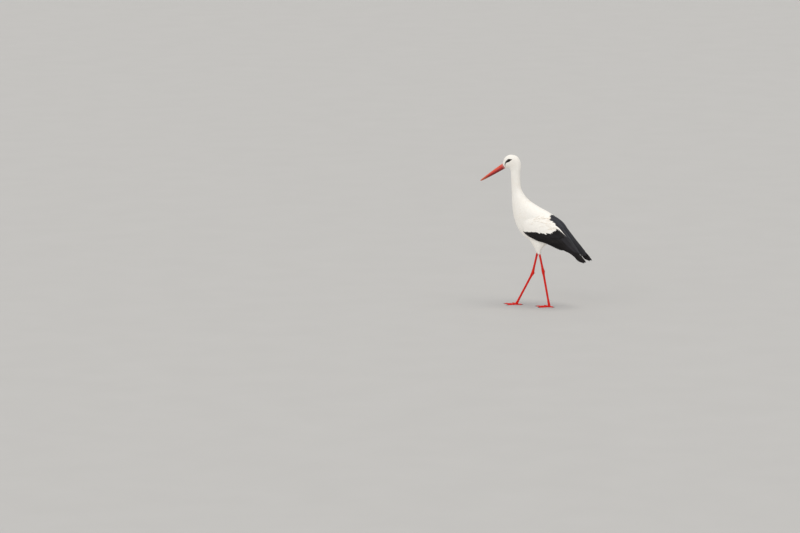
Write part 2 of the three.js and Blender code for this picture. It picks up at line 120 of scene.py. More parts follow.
# The legs, as (Y, Z) from the knee to the foot.
LEGS = {
    "left": (1, (30, 405), (46.7, 329), (66.7, 218), (96.7, 12)),
    "right": (-1, (5, 405), (2.3, 320), (-23.2, 196), (-117.7, 12)),
}
THIGH_RINGS = [
    # way down, depth, width, and how far back
    (-28, 92, 24, -6), (-12, 106, 40, 1), (0.1, 102, 47, 12), (0.36, 82, 43, 11), (0.6, 52, 34, 4),
    (0.82, 31, 25, -1), (1.0, 19, 18, 0),
]
TOE_LENGTHS = {"inner": 60, "middle": 80, "outer": 66, "hind": 30}
TOE_SPREADS = {"inner": -42, "middle": 2, "outer": 46, "hind": 168}
TOE_DEPTH = 9.6
CLAW_LENGTH = 10.0
# The heights, in mm, of the foot and the hip between which the legs spread.
LEG_LOW, LEG_HIGH = 12, 320
# Above this height the thighs lean in to the trunk, by a share of the rise.
THIGH_LEANS_ABOVE = 340
THIGH_LEAN = 0.12


# ---- Curves and surfaces ----
def smoothstep(x, low, high):
    t = np.clip((np.asarray(x, float) - low) / (high - low), 0, 1)
    return t * t * (3 - 2 * t)


def unit(v):
    return v / np.maximum(np.linalg.norm(v, axis=-1, keepdims=True), 1e-12)


def round_angles(count):
    """Even angles once round."""
    return 2 * np.pi * np.arange(count) / count


def rotated(a, b, angle):
    """The pair (a, b) turned by an angle."""
    c, s = np.cos(angle), np.sin(angle)
    return a * c - b * s, a * s + b * c


def metres(points):
    """Millimetres before the bird is centred, as metres in the frame."""
    return (np.asarray(points, float) - [0, MIDDLE_BACK, 0]) * MM


def millimetres(points):
    """Metres in the frame, as millimetres before the bird is centred."""
    return points / MM + np.array([0, MIDDLE_BACK, 0])


def curve_through(points, position):
    """A smooth curve through the points, at positions counted in them."""
    points = np.asarray(points, float)
    points = np.vstack([2 * points[0] - points[1], points, 2 * points[-1] - points[-2]])
    position = np.asarray(position, float)
    first = np.clip(np.floor(position).astype(int), 0, len(points) - 4)
    t = (position - first)[..., None]
    p0, p1, p2, p3 = (points[first + i] for i in range(4))
    d0, d1, d2 = (
        np.sqrt(np.maximum(np.linalg.norm(b - a, axis=-1, keepdims=True), 1e-6))
        for a, b in ((p0, p1), (p1, p2), (p2, p3))
    )
    m1 = ((p1 - p0) / d0 - (p2 - p0) / (d0 + d1) + (p2 - p1) / d1) * d1
    m2 = ((p2 - p1) / d1 - (p3 - p1) / (d1 + d2) + (p3 - p2) / d2) * d1
    return (
        p1 * (2 * t**3 - 3 * t**2 + 1) + m1 * (t**3 - 2 * t**2 + t)
        + p2 * (3 * t**2 - 2 * t**3) + m2 * (t**3 - t**2)
    )


def turned(points, share):
    """Turns points with the head, by a share of its turn, about the top of the neck."""
    x, back = rotated(points[..., 0], points[..., 1] - TURN_AXIS_Y, HEAD_TURN * share)
    return np.stack([x, TURN_AXIS_Y + back, points[..., 2]], axis=-1)


def head_point(left, forward, up):
    """Distances from the head's centre in mm, as points in the frame."""
    left, forward, up = np.broadcast_arrays(left, forward, up)
    points = np.stack([left, -HEAD_FORWARD - forward, HEAD_HEIGHT + up], axis=-1)
    return metres(turned(points, 1.0))


def head_local(points):
    """Points in the frame as left, forward and up from the head's centre, in mm."""
    x, y, z = np.moveaxis(turned(millimetres(points), -1.0), -1, 0)
    return x, -HEAD_FORWARD - y, z - HEAD_HEIGHT


BODY_TOP, BODY_UNDER, widths = zip(*BODY_SECTIONS)
BODY_WIDTH = [(width, SECTION_GAP * i) for i, width in enumerate(widths)]


def body_points(position, angle, grow=0.0):
    """The body's outer surface, at positions counted in sections and angles from its top."""
    position, angle, grow = np.broadcast_arrays(position, angle, grow)
    top = curve_through(BODY_TOP, position)
    under = curve_through(BODY_UNDER, position)
    half = curve_through(BODY_WIDTH, position)[..., 0] / 2 + grow
    centre = (top + under) / 2
    upward = (top - under) / 2
    reach = np.linalg.norm(upward, axis=-1, keepdims=True)
    upward = upward * (reach + grow[..., None]) / reach
    power = SQUARENESS + smoothstep(position, TRUNK_END, BODY_END - 1)
    c, s = np.cos(angle), np.sin(angle)
    fill = (np.abs(c) ** power + np.abs(s) ** power) ** (-1 / power)
    outline = centre + upward * (c * fill)[..., None]
    x = half * s * fill * (1 + TOP_HEAVY * c)
    points = np.concatenate([x[..., None], outline], axis=-1)
    return metres(turned(points, 1 - smoothstep(position, HEAD_END - 1, NECK_END - 1)))


# The eye's slit slopes down toward the bill, and bare skin runs on from it to the bill's base.
SLIT_SLOPE = math.radians(-24)
LID_LONG = 6.6
LID_HIGH = 5.2
# Bare skin, as (forward, up) from behind the eye to the bill's base, and half its width.
BARE_PATH = np.array([
    (-6, 21.5), (5, 18.6), (15.8, 14.4), (22.8, 9.4), (31, 2.6), (37.6, -6.4), (36.6, -29),
])
BARE_HALF = [0.6, 5.6, 9.4, 7.8, 5.2, 2.5, 0.9]
# The sides of the head, where the eyes are, are this far out and above this height.
SIDE_OUT = 4.0
SIDE_LOW = -20.0


def slit_distance(local):
    """How far a point of the head is from the eye's slit, where 1 is the rim of the lids."""
    _, forward, up = local
    long, high = rotated(forward - EYE_PLACE[1], up - EYE_PLACE[2], -SLIT_SLOPE)
    return np.hypot(long / LID_LONG, high / LID_HIGH)


def bare_lore(local, margin=0.0):
    """1 on the bare skin round the eye and in front of it, 0 off it."""
    flat = np.stack(local[1:], axis=-1)
    gaps = []
    for k, (start, end) in enumerate(zip(BARE_PATH[:-1], BARE_PATH[1:])):
        way = end - start
        share = np.clip((flat - start) @ way / (way @ way), 0, 1)
        half = BARE_HALF[k] + (BARE_HALF[k + 1] - BARE_HALF[k]) * share
        gaps.append(np.linalg.norm(flat - start - share[..., None] * way, axis=-1) - half)
    return 1 - smoothstep(np.min(gaps, axis=0) - margin, -0.7, 0.7)


# In mm: how far the lids' skin stands off the eyeball, where that swelling fades on the head, and
# the crease behind the eye: how far back and up it starts, its rise, its depth and its width.
LIDS_STAND = 1.9
SWELLING_FADES = 5.0, 14.0
CREASE_START = 9, 3
CREASE_RISE = 0.35
CREASE_DEEP = 1.1
CREASE_WIDE = 1.8


def brow(points, under=0.0):
    """The head's sides swell over each eye, and a shallow crease runs back from each."""
    left, forward, up = head_local(points)
    out = np.abs(left)
    beside = (out > SIDE_OUT) & (up > SIDE_LOW)
    flat = np.hypot(forward - EYE_PLACE[1], up - EYE_PLACE[2])
    swollen = EYE_RADIUS + LIDS_STAND - under
    dome = EYE_PLACE[0] + np.sqrt(np.maximum(swollen**2 - flat**2, 0))
    raised = out + np.maximum(dome - out, 0) * (1 - smoothstep(flat, *SWELLING_FADES)) * beside
    behind = EYE_PLACE[1] - CREASE_START[0] - forward
    off_crease = up - EYE_PLACE[2] - CREASE_START[1] - CREASE_RISE * behind
    deep = CREASE_DEEP * smoothstep(behind, -2, 3) * (1 - smoothstep(behind, 10, 18))
    raised = raised - deep * np.exp(-((off_crease / CREASE_WIDE) ** 2)) * beside
    return head_point(np.sign(left) * raised, forward, up)


WING_STATIONS, *wing_lines = zip(*WING_SECTIONS)
wing_curves = {
    key: np.column_stack([WING_STATIONS, line])
    for key, line in zip(("ridge", "crest", "hem", "bulge"), wing_lines)
}


# In mm: how far the coverts stand off the wing's lines, and how high the roof beside the crest is.
COVERTS_STAND = 1.1
ROOF_CROWN = 3.0
# How soon the wing's side bulges below the crest, and how far it grows along itself.
BULGE_POWER = 0.8
GROWS_ALONG = 0.3


def wing_position(along):
    """A distance along the wing, as a position counted in its sections."""
    return np.interp(along, WING_STATIONS, np.arange(len(WING_STATIONS)))


def wing_points(along, fall, side, grow=0.0):
    """The wing's outer surface. Fall is -1 at the ridge, 0 at the crest and 1 at the hem."""
    along, fall, grow = np.broadcast_arrays(along, fall, grow)
    position = wing_position(along)
    ridge, crest, hem, bulge = (curve_through(line, position) for line in wing_curves.values())
    down = np.clip(fall, 0, 1)
    inward = np.clip(-fall, 0, 1)
    out, across = (
        crest[..., i] + (hem - crest)[..., i] * down + (ridge - crest)[..., i] * inward
        for i in (1, 2)
    )
    out = out + bulge[..., 1] * np.sin(np.pi * down) ** BULGE_POWER + COVERTS_STAND
    across = across + ROOF_CROWN * np.sin(np.pi * inward)
    out = out + grow * np.where(fall >= 0, 1, GROWS_ALONG)
    across = across + grow * np.where(fall < 0, 1, GROWS_ALONG)
    back, up = rotated(along, across, -WING_PITCH)
    return metres(np.stack([side * out, WING_ROOT[1] + back, WING_ROOT[2] + up], axis=-1))


def leg_spot(side, spot):
    """A place on the middle of a leg, from its (Y, Z)."""
    out = np.interp(spot[1], [LEG_LOW, LEG_HIGH], [FEET_APART / 2, HIP_APART / 2])
    return np.array([side * out, *spot])


def thigh_points(name, position, angle, grow=0.0):
    """The feathered thigh's outer surface, at positions counted in its rings."""
    side, knee, cuff, ankle, _ = LEGS[name]
    rings = []
    for down, deep, wide, back in THIGH_RINGS:
        share = max(down, 0)
        y = knee[0] + (cuff[0] - knee[0]) * share + back
        z = knee[1] + (cuff[1] - knee[1]) * share - min(down, 0)
        x = side * (HIP_APART / 2 - THIGH_LEAN * max(z - THIGH_LEANS_ABOVE, 0))
        rings.append((x, y, z, deep, wide))
    position, angle, grow = np.broadcast_arrays(position, angle, grow)
    ring = curve_through(rings, position)
    along = unit(leg_spot(side, ankle) - leg_spot(side, cuff))
    return metres(round_section(ring[..., :3], along, ring[..., 3:] / 2 + grow[..., None], angle))


def round_section(centre, along, half, angle):
    """Points round a limb's middle line. Half holds half its depth and half its width."""
    across = unit(np.array([1.0, 0, 0]) - along * along[..., :1])
    deep = np.cross(across, along)
    return (
        centre
        + deep * (half[..., 0] * np.cos(angle))[..., None]
        + across * (half[..., 1] * np.sin(angle))[..., None]
    )


class Surface:
    """A surface as a grid of points. Rows run with the lie of the feathers, columns across it."""

    def __init__(self, points, closed):
        self.points = points
        self.closed = closed
        self.rows, self.columns = points.shape[:2]
        along = np.gradient(points, axis=0)
        if closed:
            across = (np.roll(points, -1, axis=1) - np.roll(points, 1, axis=1)) / 2
        else:
            across = np.gradient(points, axis=1)
        normal = unit(np.cross(along, across))
        centre = points.mean(axis=1, keepdims=True)
        self.hand = 1 if np.sum(normal * (points - centre)) > 0 else -1
        self.normal = normal * self.hand
        self.row_step = np.linalg.norm(along, axis=-1)
        self.column_step = np.maximum(np.linalg.norm(across, axis=-1), 1e-5)

    def look(self, table, row, column):
        """A table's value between grid points, carried on straight past the edges."""
        i = np.clip(np.floor(row).astype(int), 0, self.rows - 2)
        f = row - i
        if self.closed:
            g = column - np.floor(column)
            j = np.floor(column).astype(int) % self.columns
            k = (j + 1) % self.columns
        else:
            j = np.clip(np.floor(column).astype(int), 0, self.columns - 2)
            g = column - j
            k = j + 1
        if table.ndim == 3:
            f, g = f[..., None], g[..., None]
        near = table[i, j] * (1 - g) + table[i, k] * g
        far = table[i + 1, j] * (1 - g) + table[i + 1, k] * g
        return near * (1 - f) + far * f

    def steps(self, row, column):
        """How far one row and one column reach here, in metres."""
        row = np.clip(row, 0, self.rows - 1)
        if not self.closed:
            column = np.clip(column, 0, self.columns - 1)
        return (
            np.maximum(self.look(self.row_step, row, column), 1e-5),
            np.maximum(self.look(self.column_step, row, column), 1e-5),
        )


BODY_ROWS_PER_SECTION = 16
BODY_COLUMNS = 256
body_rows = np.arange(BODY_END * BODY_ROWS_PER_SECTION + 1) / BODY_ROWS_PER_SECTION
body = Surface(brow(body_points(body_rows[:, None], round_angles(BODY_COLUMNS))), closed=True)

WING_ROWS = 150
WING_COLUMNS = 97
WING_EASING = 12


def wing_surface(side):
    """The wing's outer surface, with its creases eased across the columns."""
    along, fall = np.linspace(2, WING_LENGTH, WING_ROWS), np.linspace(-1, 1, WING_COLUMNS)
    points = wing_points(along[:, None], fall, side)
    for _ in range(WING_EASING):
        points[:, 1:-1] = (points[:, :-2] + 2 * points[:, 1:-1] + points[:, 2:]) / 4
    return Surface(points, closed=False)


wings = {name: wing_surface(leg[0]) for name, leg in LEGS.items()}

THIGH_ROWS = 61
THIGH_COLUMNS = 96
thigh_rows = np.linspace(0, len(THIGH_RINGS) - 1, THIGH_ROWS)
thighs = {
    name: Surface(thigh_points(name, thigh_rows[:, None], round_angles(THIGH_COLUMNS)), closed=True)
    for name in LEGS
}


# ---- Meshes ----
def make_mesh(name, points, quads, triangles=(), smooth=True):
    quads = np.asarray(quads, dtype=np.int32).reshape(-1, 4)
    triangles = np.asarray(triangles, dtype=np.int32).reshape(-1, 3)
    mesh = bpy.data.meshes.new(name)
    mesh.vertices.add(len(points))
    mesh.vertices.foreach_set("co", np.asarray(points, dtype=np.float32).ravel())
    corners = np.concatenate([quads.ravel(), triangles.ravel()])
    mesh.loops.add(len(corners))
    mesh.loops.foreach_set("vertex_index", corners)
    starts = np.concatenate([
        4 * np.arange(len(quads)), 4 * len(quads) + 3 * np.arange(len(triangles)),
    ])
    mesh.polygons.add(len(starts))
    mesh.polygons.foreach_set("loop_start", starts.astype(np.int32))
    mesh.update(calc_edges=True)
    mesh.validate()
    mesh.polygons.foreach_set("use_smooth", np.full(len(mesh.polygons), smooth))
    return mesh


def add_object(name, mesh):
    piece = bpy.data.objects.new(name, mesh)
    bpy.context.collection.objects.link(piece)
    return piece


def finish_piece(piece, nodes, material):
    piece.data.materials.clear()
    piece.data.materials.append(material)
    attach(piece, "root")
    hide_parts(*nodes)


def store(mesh, name, values):
    """Keeps one number for each point, for the finish to read."""
    layer = mesh.attributes.new(name, "FLOAT", "POINT")
    layer.data.foreach_set("value", np.asarray(values, dtype=np.float32).ravel())


def read(items, name, wide=1, kind=np.float32):
    """One property of a mesh's points, faces or corners, as an array."""
    values = np.empty(wide * len(items), dtype=kind)
    items.foreach_get(name, values)
    return values.reshape(-1, wide).astype(float) if wide > 1 else values


def mesh_points(mesh):
    return read(mesh.vertices, "co", 3)


def quads_round(rings, sides, joined=False):
    """Faces between rings of points, and from the last ring on to the first if they are joined."""
    i, j = np.meshgrid(np.arange(rings - (not joined)), np.arange(sides), indexing="ij")
    n, k = (i + 1) % rings, (j + 1) % sides
    quads = np.stack([i * sides + j, i * sides + k, n * sides + k, n * sides + j], -1)
    return quads.reshape(-1, 4)


def facing_out(mesh):
    """The same closed mesh, with its faces turned outward."""
    mesh.calc_loop_triangles()
    corners = read(mesh.loop_triangles, "vertices", 3, np.int32).astype(int)
    a, b, c = mesh_points(mesh)[corners].transpose(1, 0, 2)
    if np.sum(a * np.cross(b, c)) < 0:
        mesh.flip_normals()
    return mesh


def tube_mesh(name, rings):
    """A closed skin over rings of points, with a flat fan at each end."""
    count, sides = rings.shape[:2]
    ends = [rings[0].mean(axis=0), rings[-1].mean(axis=0)]
    j = np.arange(sides)
    k = (j + 1) % sides
    first, last = count * sides, (count - 1) * sides
    bottom = np.stack([np.full(sides, first), k, j], -1)
    top = np.stack([np.full(sides, first + 1), last + j, last + k], -1)
    points = np.concatenate([rings.reshape(-1, 3), ends])
    triangles = np.concatenate([bottom, top])
    return facing_out(make_mesh(name, points, quads_round(count, sides), triangles))


def ends_too(values):
    """Values for a tube's points, with one more for the middle of each of its ends."""
    return np.concatenate([np.ravel(values), [values[0].mean(), values[-1].mean()]])


def ring_mesh(name, rings):
    """A closed skin over rings of points that run on into each other."""
    quads = quads_round(*rings.shape[:2], joined=True)
    return facing_out(make_mesh(name, rings.reshape(-1, 3), quads))


def join_bodies(name, meshes):
    """One closed piece from overlapping closed meshes."""
    whole = add_object(name, meshes[0])
    helpers = [add_object(mesh.name, mesh) for mesh in meshes[1:]]
    for helper in helpers:
        union = whole.modifiers.new("join", "BOOLEAN")
        union.operation = "UNION"
        union.solver = "MANIFOLD"
        union.object = helper
    solved = whole.evaluated_get(bpy.context.evaluated_depsgraph_get())
    joined = bpy.data.meshes.new_from_object(solved)
    whole.modifiers.clear()
    whole.data = joined
    for helper in helpers:
        bpy.data.objects.remove(helper)
    for mesh in meshes:
        bpy.data.meshes.remove(mesh)
    return whole


# ---- Finishes ----
# Colours, as linear red, green and blue. A pair is what two feathers or spots may differ by.
CLEAN_VANE = (0.885, 0.85, 0.79), (0.925, 0.90, 0.85)
CREAM = (0.90, 0.83, 0.74)
DOWN = (0.84, 0.79, 0.72)
# Painted shade for the edges and tips of feather groups.
PAINTED_EDGE_SHADE = (0.62, 0.49, 0.34)
PALE_SHAFT = (0.80, 0.72, 0.62)
BLACK_VANE = (0.007, 0.006, 0.006), (0.016, 0.013, 0.013)
# Painted sheen: a grey for the dark feathers over the back, and a grey for patches.
SHEEN_GREY_VANE = (0.024, 0.025, 0.032), (0.046, 0.047, 0.056)
PAINTED_SHEEN = (0.036, 0.033, 0.040)
WORN_EDGE = (0.060, 0.054, 0.054)
DARK_SHAFT = (0.004, 0.004, 0.004)
RED_SCALE = (0.62, 0.010, 0.006), (0.86, 0.022, 0.010)
SCALE_GROOVE = (0.32, 0.008, 0.006)
DUST = (0.66, 0.12, 0.06)
PALE_SKIN = (0.70, 0.62, 0.55), (0.80, 0.73, 0.66)
SKIN_UNDER_DARK = (0.012, 0.010, 0.011)
BLACK_SKIN = (0.006, 0.005, 0.005), (0.022, 0.018, 0.016)
# From the ridge of the bill's upper half, by way of the mouth, to the keel of the lower one. The
# orange on the ridge is a painted highlight; the dark line at the mouth and the darker reds down
# the lower half are painted shade.
BILL_LIT_TO_SHADED_REDS = (
    (0.0, (0.72, 0.115, 0.030)), (0.18, (0.70, 0.080, 0.050)), (0.34, (0.62, 0.044, 0.046)),
    (0.40, (0.24, 0.012, 0.014)), (0.50, (0.34, 0.017, 0.021)), (0.8, (0.12, 0.006, 0.008)),
    (1.0, (0.07, 0.004, 0.005)),
)
BILL_STREAK = (0.66, 0.075, 0.035)
BILL_BASE_PINK = (0.62, 0.24, 0.22)
BILL_TIP = (0.60, 0.15, 0.045)
CLAW_BROWN = (0.10, 0.035, 0.025), (0.03, 0.02, 0.017)
CLAW_GRAIN = (0.16, 0.10, 0.07)
IRIS = (0.016, 0.009, 0.006), (0.036, 0.020, 0.013)
PUPIL = (0.002, 0.002, 0.002)
EYE_SIDES = (0.01, 0.006, 0.005)
FLOOR_GREY = (0.50, 0.49, 0.475), (0.53, 0.52, 0.505)
FINE_RELIEF = 0.0003
STREAK_RELIEF = 0.0006


class Wire:
    """A value in a finish. Python's own operators on it add Math nodes."""

    def __init__(self, finish, socket):
        self.finish = finish
        self.socket = socket

    def math(self, operation, first, second):
        return self.finish.node("ShaderNodeMath", {"operation": operation}, {0: first, 1: second})

    def __add__(self, other):
        return self.math("ADD", self, other)

    def __radd__(self, other):
        return self.math("ADD", other, self)

    def __sub__(self, other):
        return self.math("SUBTRACT", self, other)

    def __rsub__(self, other):
        return self.math("SUBTRACT", other, self)

    def __mul__(self, other):
        return self.math("MULTIPLY", self, other)

    def __rmul__(self, other):
        return self.math("MULTIPLY", other, self)


class Finish:
    """A material, and the few ways its nodes are made."""

    def __init__(self, name, **shader):
        self.material = bpy.data.materials.new(name)
        self.material.use_nodes = True
        self.tree = self.material.node_tree
        self.shader = self.tree.nodes["Principled BSDF"]
        for socket, value in shader.items():
            self.shader.inputs[socket.replace("_", " ")].default_value = value

    def node(self, kind, settings=None, sockets=None, out=0):
        node = self.tree.nodes.new(kind)
        for key, value in (settings or {}).items():
            if key == "stops":
                ramp = node.color_ramp.elements
                while len(ramp) < len(value):
                    ramp.new(0.5)
                for stop, (place, colour) in zip(ramp, value):
                    stop.position = place
                    stop.color = (*colour, 1)
            else:
                setattr(node, key, value)
        for key, value in (sockets or {}).items():
            self.put(node.inputs[key], value)
        return Wire(self, node.outputs[out])

    def put(self, socket, value):
        if isinstance(value, Wire):
            self.tree.links.new(value.socket, socket)
        elif isinstance(value, (tuple, list)) and socket.type == "RGBA" and len(value) == 3:
            socket.default_value = (*value, 1)
        else:
            socket.default_value = value

    def feed(self, socket, value):
        self.put(self.shader.inputs[socket], value)

    def mix(self, share, first, second):
        settings = {"data_type": "RGBA", "clamp_factor": True}
        return self.node("ShaderNodeMix", settings, {0: share, 6: first, 7: second}, out=2)

    def kept(self, name):
        """A number kept on the mesh's points."""
        return self.node("ShaderNodeAttribute", {"attribute_name": name}, out="Fac")

    def place(self):
        return self.node("ShaderNodeTexCoord", out="Object")

    def noise(self, scale, detail=3.0, where=None):
        sockets = {"Vector": where or self.place(), "Scale": scale, "Detail": detail}
        return self.node("ShaderNodeTexNoise", {}, sockets, out="Fac")

    def ramp(self, value, *stops):
        return self.node("ShaderNodeValToRGB", {"stops": stops}, {"Fac": value}, out="Color")

    def between(self, value, low, high):
        """0 up to low, 1 from high, and smooth between."""
        settings = {"interpolation_type": "SMOOTHSTEP", "clamp": True}
        sockets = {"Value": value, "From Min": low, "From Max": high}
        return self.node("ShaderNodeMapRange", settings, sockets)

    def ridges(self, value, count):
        """A wave that rises and falls once in each of count steps of the value."""
        turns = value * (2 * math.pi * count)
        return self.node("ShaderNodeMath", {"operation": "SINE"}, {0: turns})

    def bump(self, height, strength, distance=FINE_RELIEF):
        sockets = {"Height": height, "Strength": strength, "Distance": distance}
        self.feed("Normal", self.node("ShaderNodeBump", {}, sockets, out="Normal"))


def white_feather():
    """Soft white plumage, creamier at the hidden base of each feather."""
    # The plumage glows faintly: painted light that lifts the shade in the gaps between the
    # feathers.
    finish = Finish(
        "white_plumage", Roughness=0.85, Specular_IOR_Level=0.15, Sheen_Weight=0.15,
        Sheen_Roughness=0.5, Emission_Color=(1.0, 0.95, 0.86, 1.0), Emission_Strength=0.05,
    )
    along, across, odd = (finish.kept(name) for name in ("along", "across", "odd"))
    warmth = finish.noise(9.0, 2.0)
    clean = finish.mix(odd, *CLEAN_VANE)
    tone = finish.mix(finish.between(warmth, 0.45, 0.75) * 0.4, clean, CREAM)
    base = finish.mix(finish.between(along, 0.0, 0.5), DOWN, tone)
    # The long shoulder feathers and a few others are darker tan at their edges and tips: painted
    # shade between the feather groups.
    edge = finish.between(across * across * 0.7 + along * along * along * 0.5, 0.40, 0.95)
    few = finish.between(odd, 0.84, 0.92) * finish.between(warmth, 0.40, 0.62)
    base = finish.mix(edge * (finish.kept("slate") + few), base, PAINTED_EDGE_SHADE)
    shaft = 1 - finish.between(across * across, 0.0, 0.03)
    finish.feed("Base Color", finish.mix(shaft * 0.08, base, PALE_SHAFT))
    finish.bump(finish.ridges(along + across * across * 0.3, 22), 0.10)
    return finish.material


def dark_feather():
    """Brown-black flight feathers with a dark shaft and fine barbs; the grey over the back and in
    patches is painted sheen.
    """
    finish = Finish("dark_plumage", Specular_IOR_Level=0.14)
    along, across, odd = (finish.kept(name) for name in ("along", "across", "odd"))
    black, sheen_grey = finish.mix(odd, *BLACK_VANE), finish.mix(odd, *SHEEN_GREY_VANE)
    # Painted sheen: feathers over the back turn grey, and patches greyer still.
    tone = finish.mix(finish.kept("slate"), black, sheen_grey)
    sheen_patches = finish.between(finish.noise(14.0, 4.0), 0.42, 0.75)
    tone = finish.mix(sheen_patches * 0.35, tone, PAINTED_SHEEN)
    edge = finish.between(across * across, 0.72, 1.0)
    tone = finish.mix(edge * 0.45, tone, WORN_EDGE)
    shaft = 1 - finish.between(across * across, 0.0006, 0.004)
    finish.feed("Base Color", finish.mix(shaft * 0.6, tone, DARK_SHAFT))
    barbs = finish.ridges(along + across * across * 0.10, 70)
    wear = finish.noise(220.0, 2.0)
    finish.feed("Roughness", 0.42 + wear * 0.24)
    finish.bump(barbs * 0.25 + wear * 0.6, 0.15)
    return finish.material


def bare_skin():
    """Scaly red legs, thin black skin round the eye, and pale skin under the plumage."""
    finish = Finish("skin", Specular_IOR_Level=0.16)
    leg, lore, dark, scale = (finish.kept(name) for name in ("leg", "lore", "dark", "scale"))
    mottle = finish.noise(160.0, 4.0)
    red = finish.mix(finish.between(mottle, 0.3, 0.7), *RED_SCALE)
    red = finish.mix(finish.between(scale, -0.4, 0.6), SCALE_GROOVE, red)
    dust = finish.between(finish.noise(60.0, 5.0), 0.58, 0.8)
    red = finish.mix(dust * 0.25, red, DUST)
    tone = finish.mix(dark, finish.mix(finish.noise(40.0), *PALE_SKIN), SKIN_UNDER_DARK)
    tone = finish.mix(leg, tone, red)
    finish.feed("Base Color", finish.mix(lore, tone, finish.mix(mottle, *BLACK_SKIN)))
    finish.feed("Roughness", 0.62 - scale * 0.18 - lore * 0.15)
    grain = finish.node("ShaderNodeTexVoronoi", {}, {"Vector": finish.place(), "Scale": 900.0})
    finish.bump(grain + mottle * 0.6, 0.25)
    return finish.material


def red_horn():
    """The bill: red horn, pinker at the base, paler toward the tip, finely streaked along it. Its
    ridge has a painted highlight, and the mouth and the lower half painted shade.
    """
    finish = Finish("bill_horn", Specular_IOR_Level=0.28, Coat_Weight=0.06)
    along, across, odd = (finish.kept(name) for name in ("along", "across", "odd"))
    where = finish.node("ShaderNodeCombineXYZ", {}, {0: along * 5.0, 1: across * 22.0, 2: odd})
    streaks = finish.noise(1.0, 5.0, where)
    # Painted highlight on the ridge, painted shade at the mouth and under the lower half.
    tone = finish.ramp(odd, *BILL_LIT_TO_SHADED_REDS)
    tone = finish.mix(finish.between(streaks, 0.35, 0.75) * 0.4, tone, BILL_STREAK)
    tone = finish.mix(finish.between(along, 0.10, 0.0) * 0.8, tone, BILL_BASE_PINK)
    finish.feed("Base Color", finish.mix(finish.between(along, 0.55, 1.0) * 0.6, tone, BILL_TIP))
    finish.feed("Roughness", 0.30 + streaks * 0.25)
    finish.bump(streaks, 0.2, STREAK_RELIEF)
    return finish.material


def claw_horn():
    finish = Finish("claw_horn", Roughness=0.45)
    grain = finish.noise(500.0, 3.0)
    tone = finish.mix(finish.kept("along"), *CLAW_BROWN)
    finish.feed("Base Color", finish.mix(grain * 0.5, tone, CLAW_GRAIN))
    finish.bump(grain, 0.2)
    return finish.material


def wet_eye():
    """A dark brown iris round a black pupil, under a wet gloss."""
    finish = Finish("eye", Roughness=0.08, Specular_IOR_Level=0.35)
    out = finish.kept("out")
    iris = finish.mix(finish.noise(1500.0, 2.0), *IRIS)
    tone = finish.mix(finish.between(out, 0.935, 0.95), iris, PUPIL)
    finish.feed("Base Color", finish.mix(finish.between(out, 0.80, 0.76), tone, EYE_SIDES))
    return finish.material


def floor_finish():
    finish = Finish("studio_floor", Roughness=0.85, Specular_IOR_Level=0.2)
    finish.feed("Base Color", finish.mix(finish.noise(3.0, 4.0), *FLOOR_GREY))
    return finish.material


WHITE = white_feather()
DARK = dark_feather()
SKIN = bare_skin()
BILL = red_horn()
CLAW = claw_horn()
EYE = wet_eye()


# ---- Feathers ----
# How much of the flat layout one small feather takes.
FEATHER_PATCH = 0.003


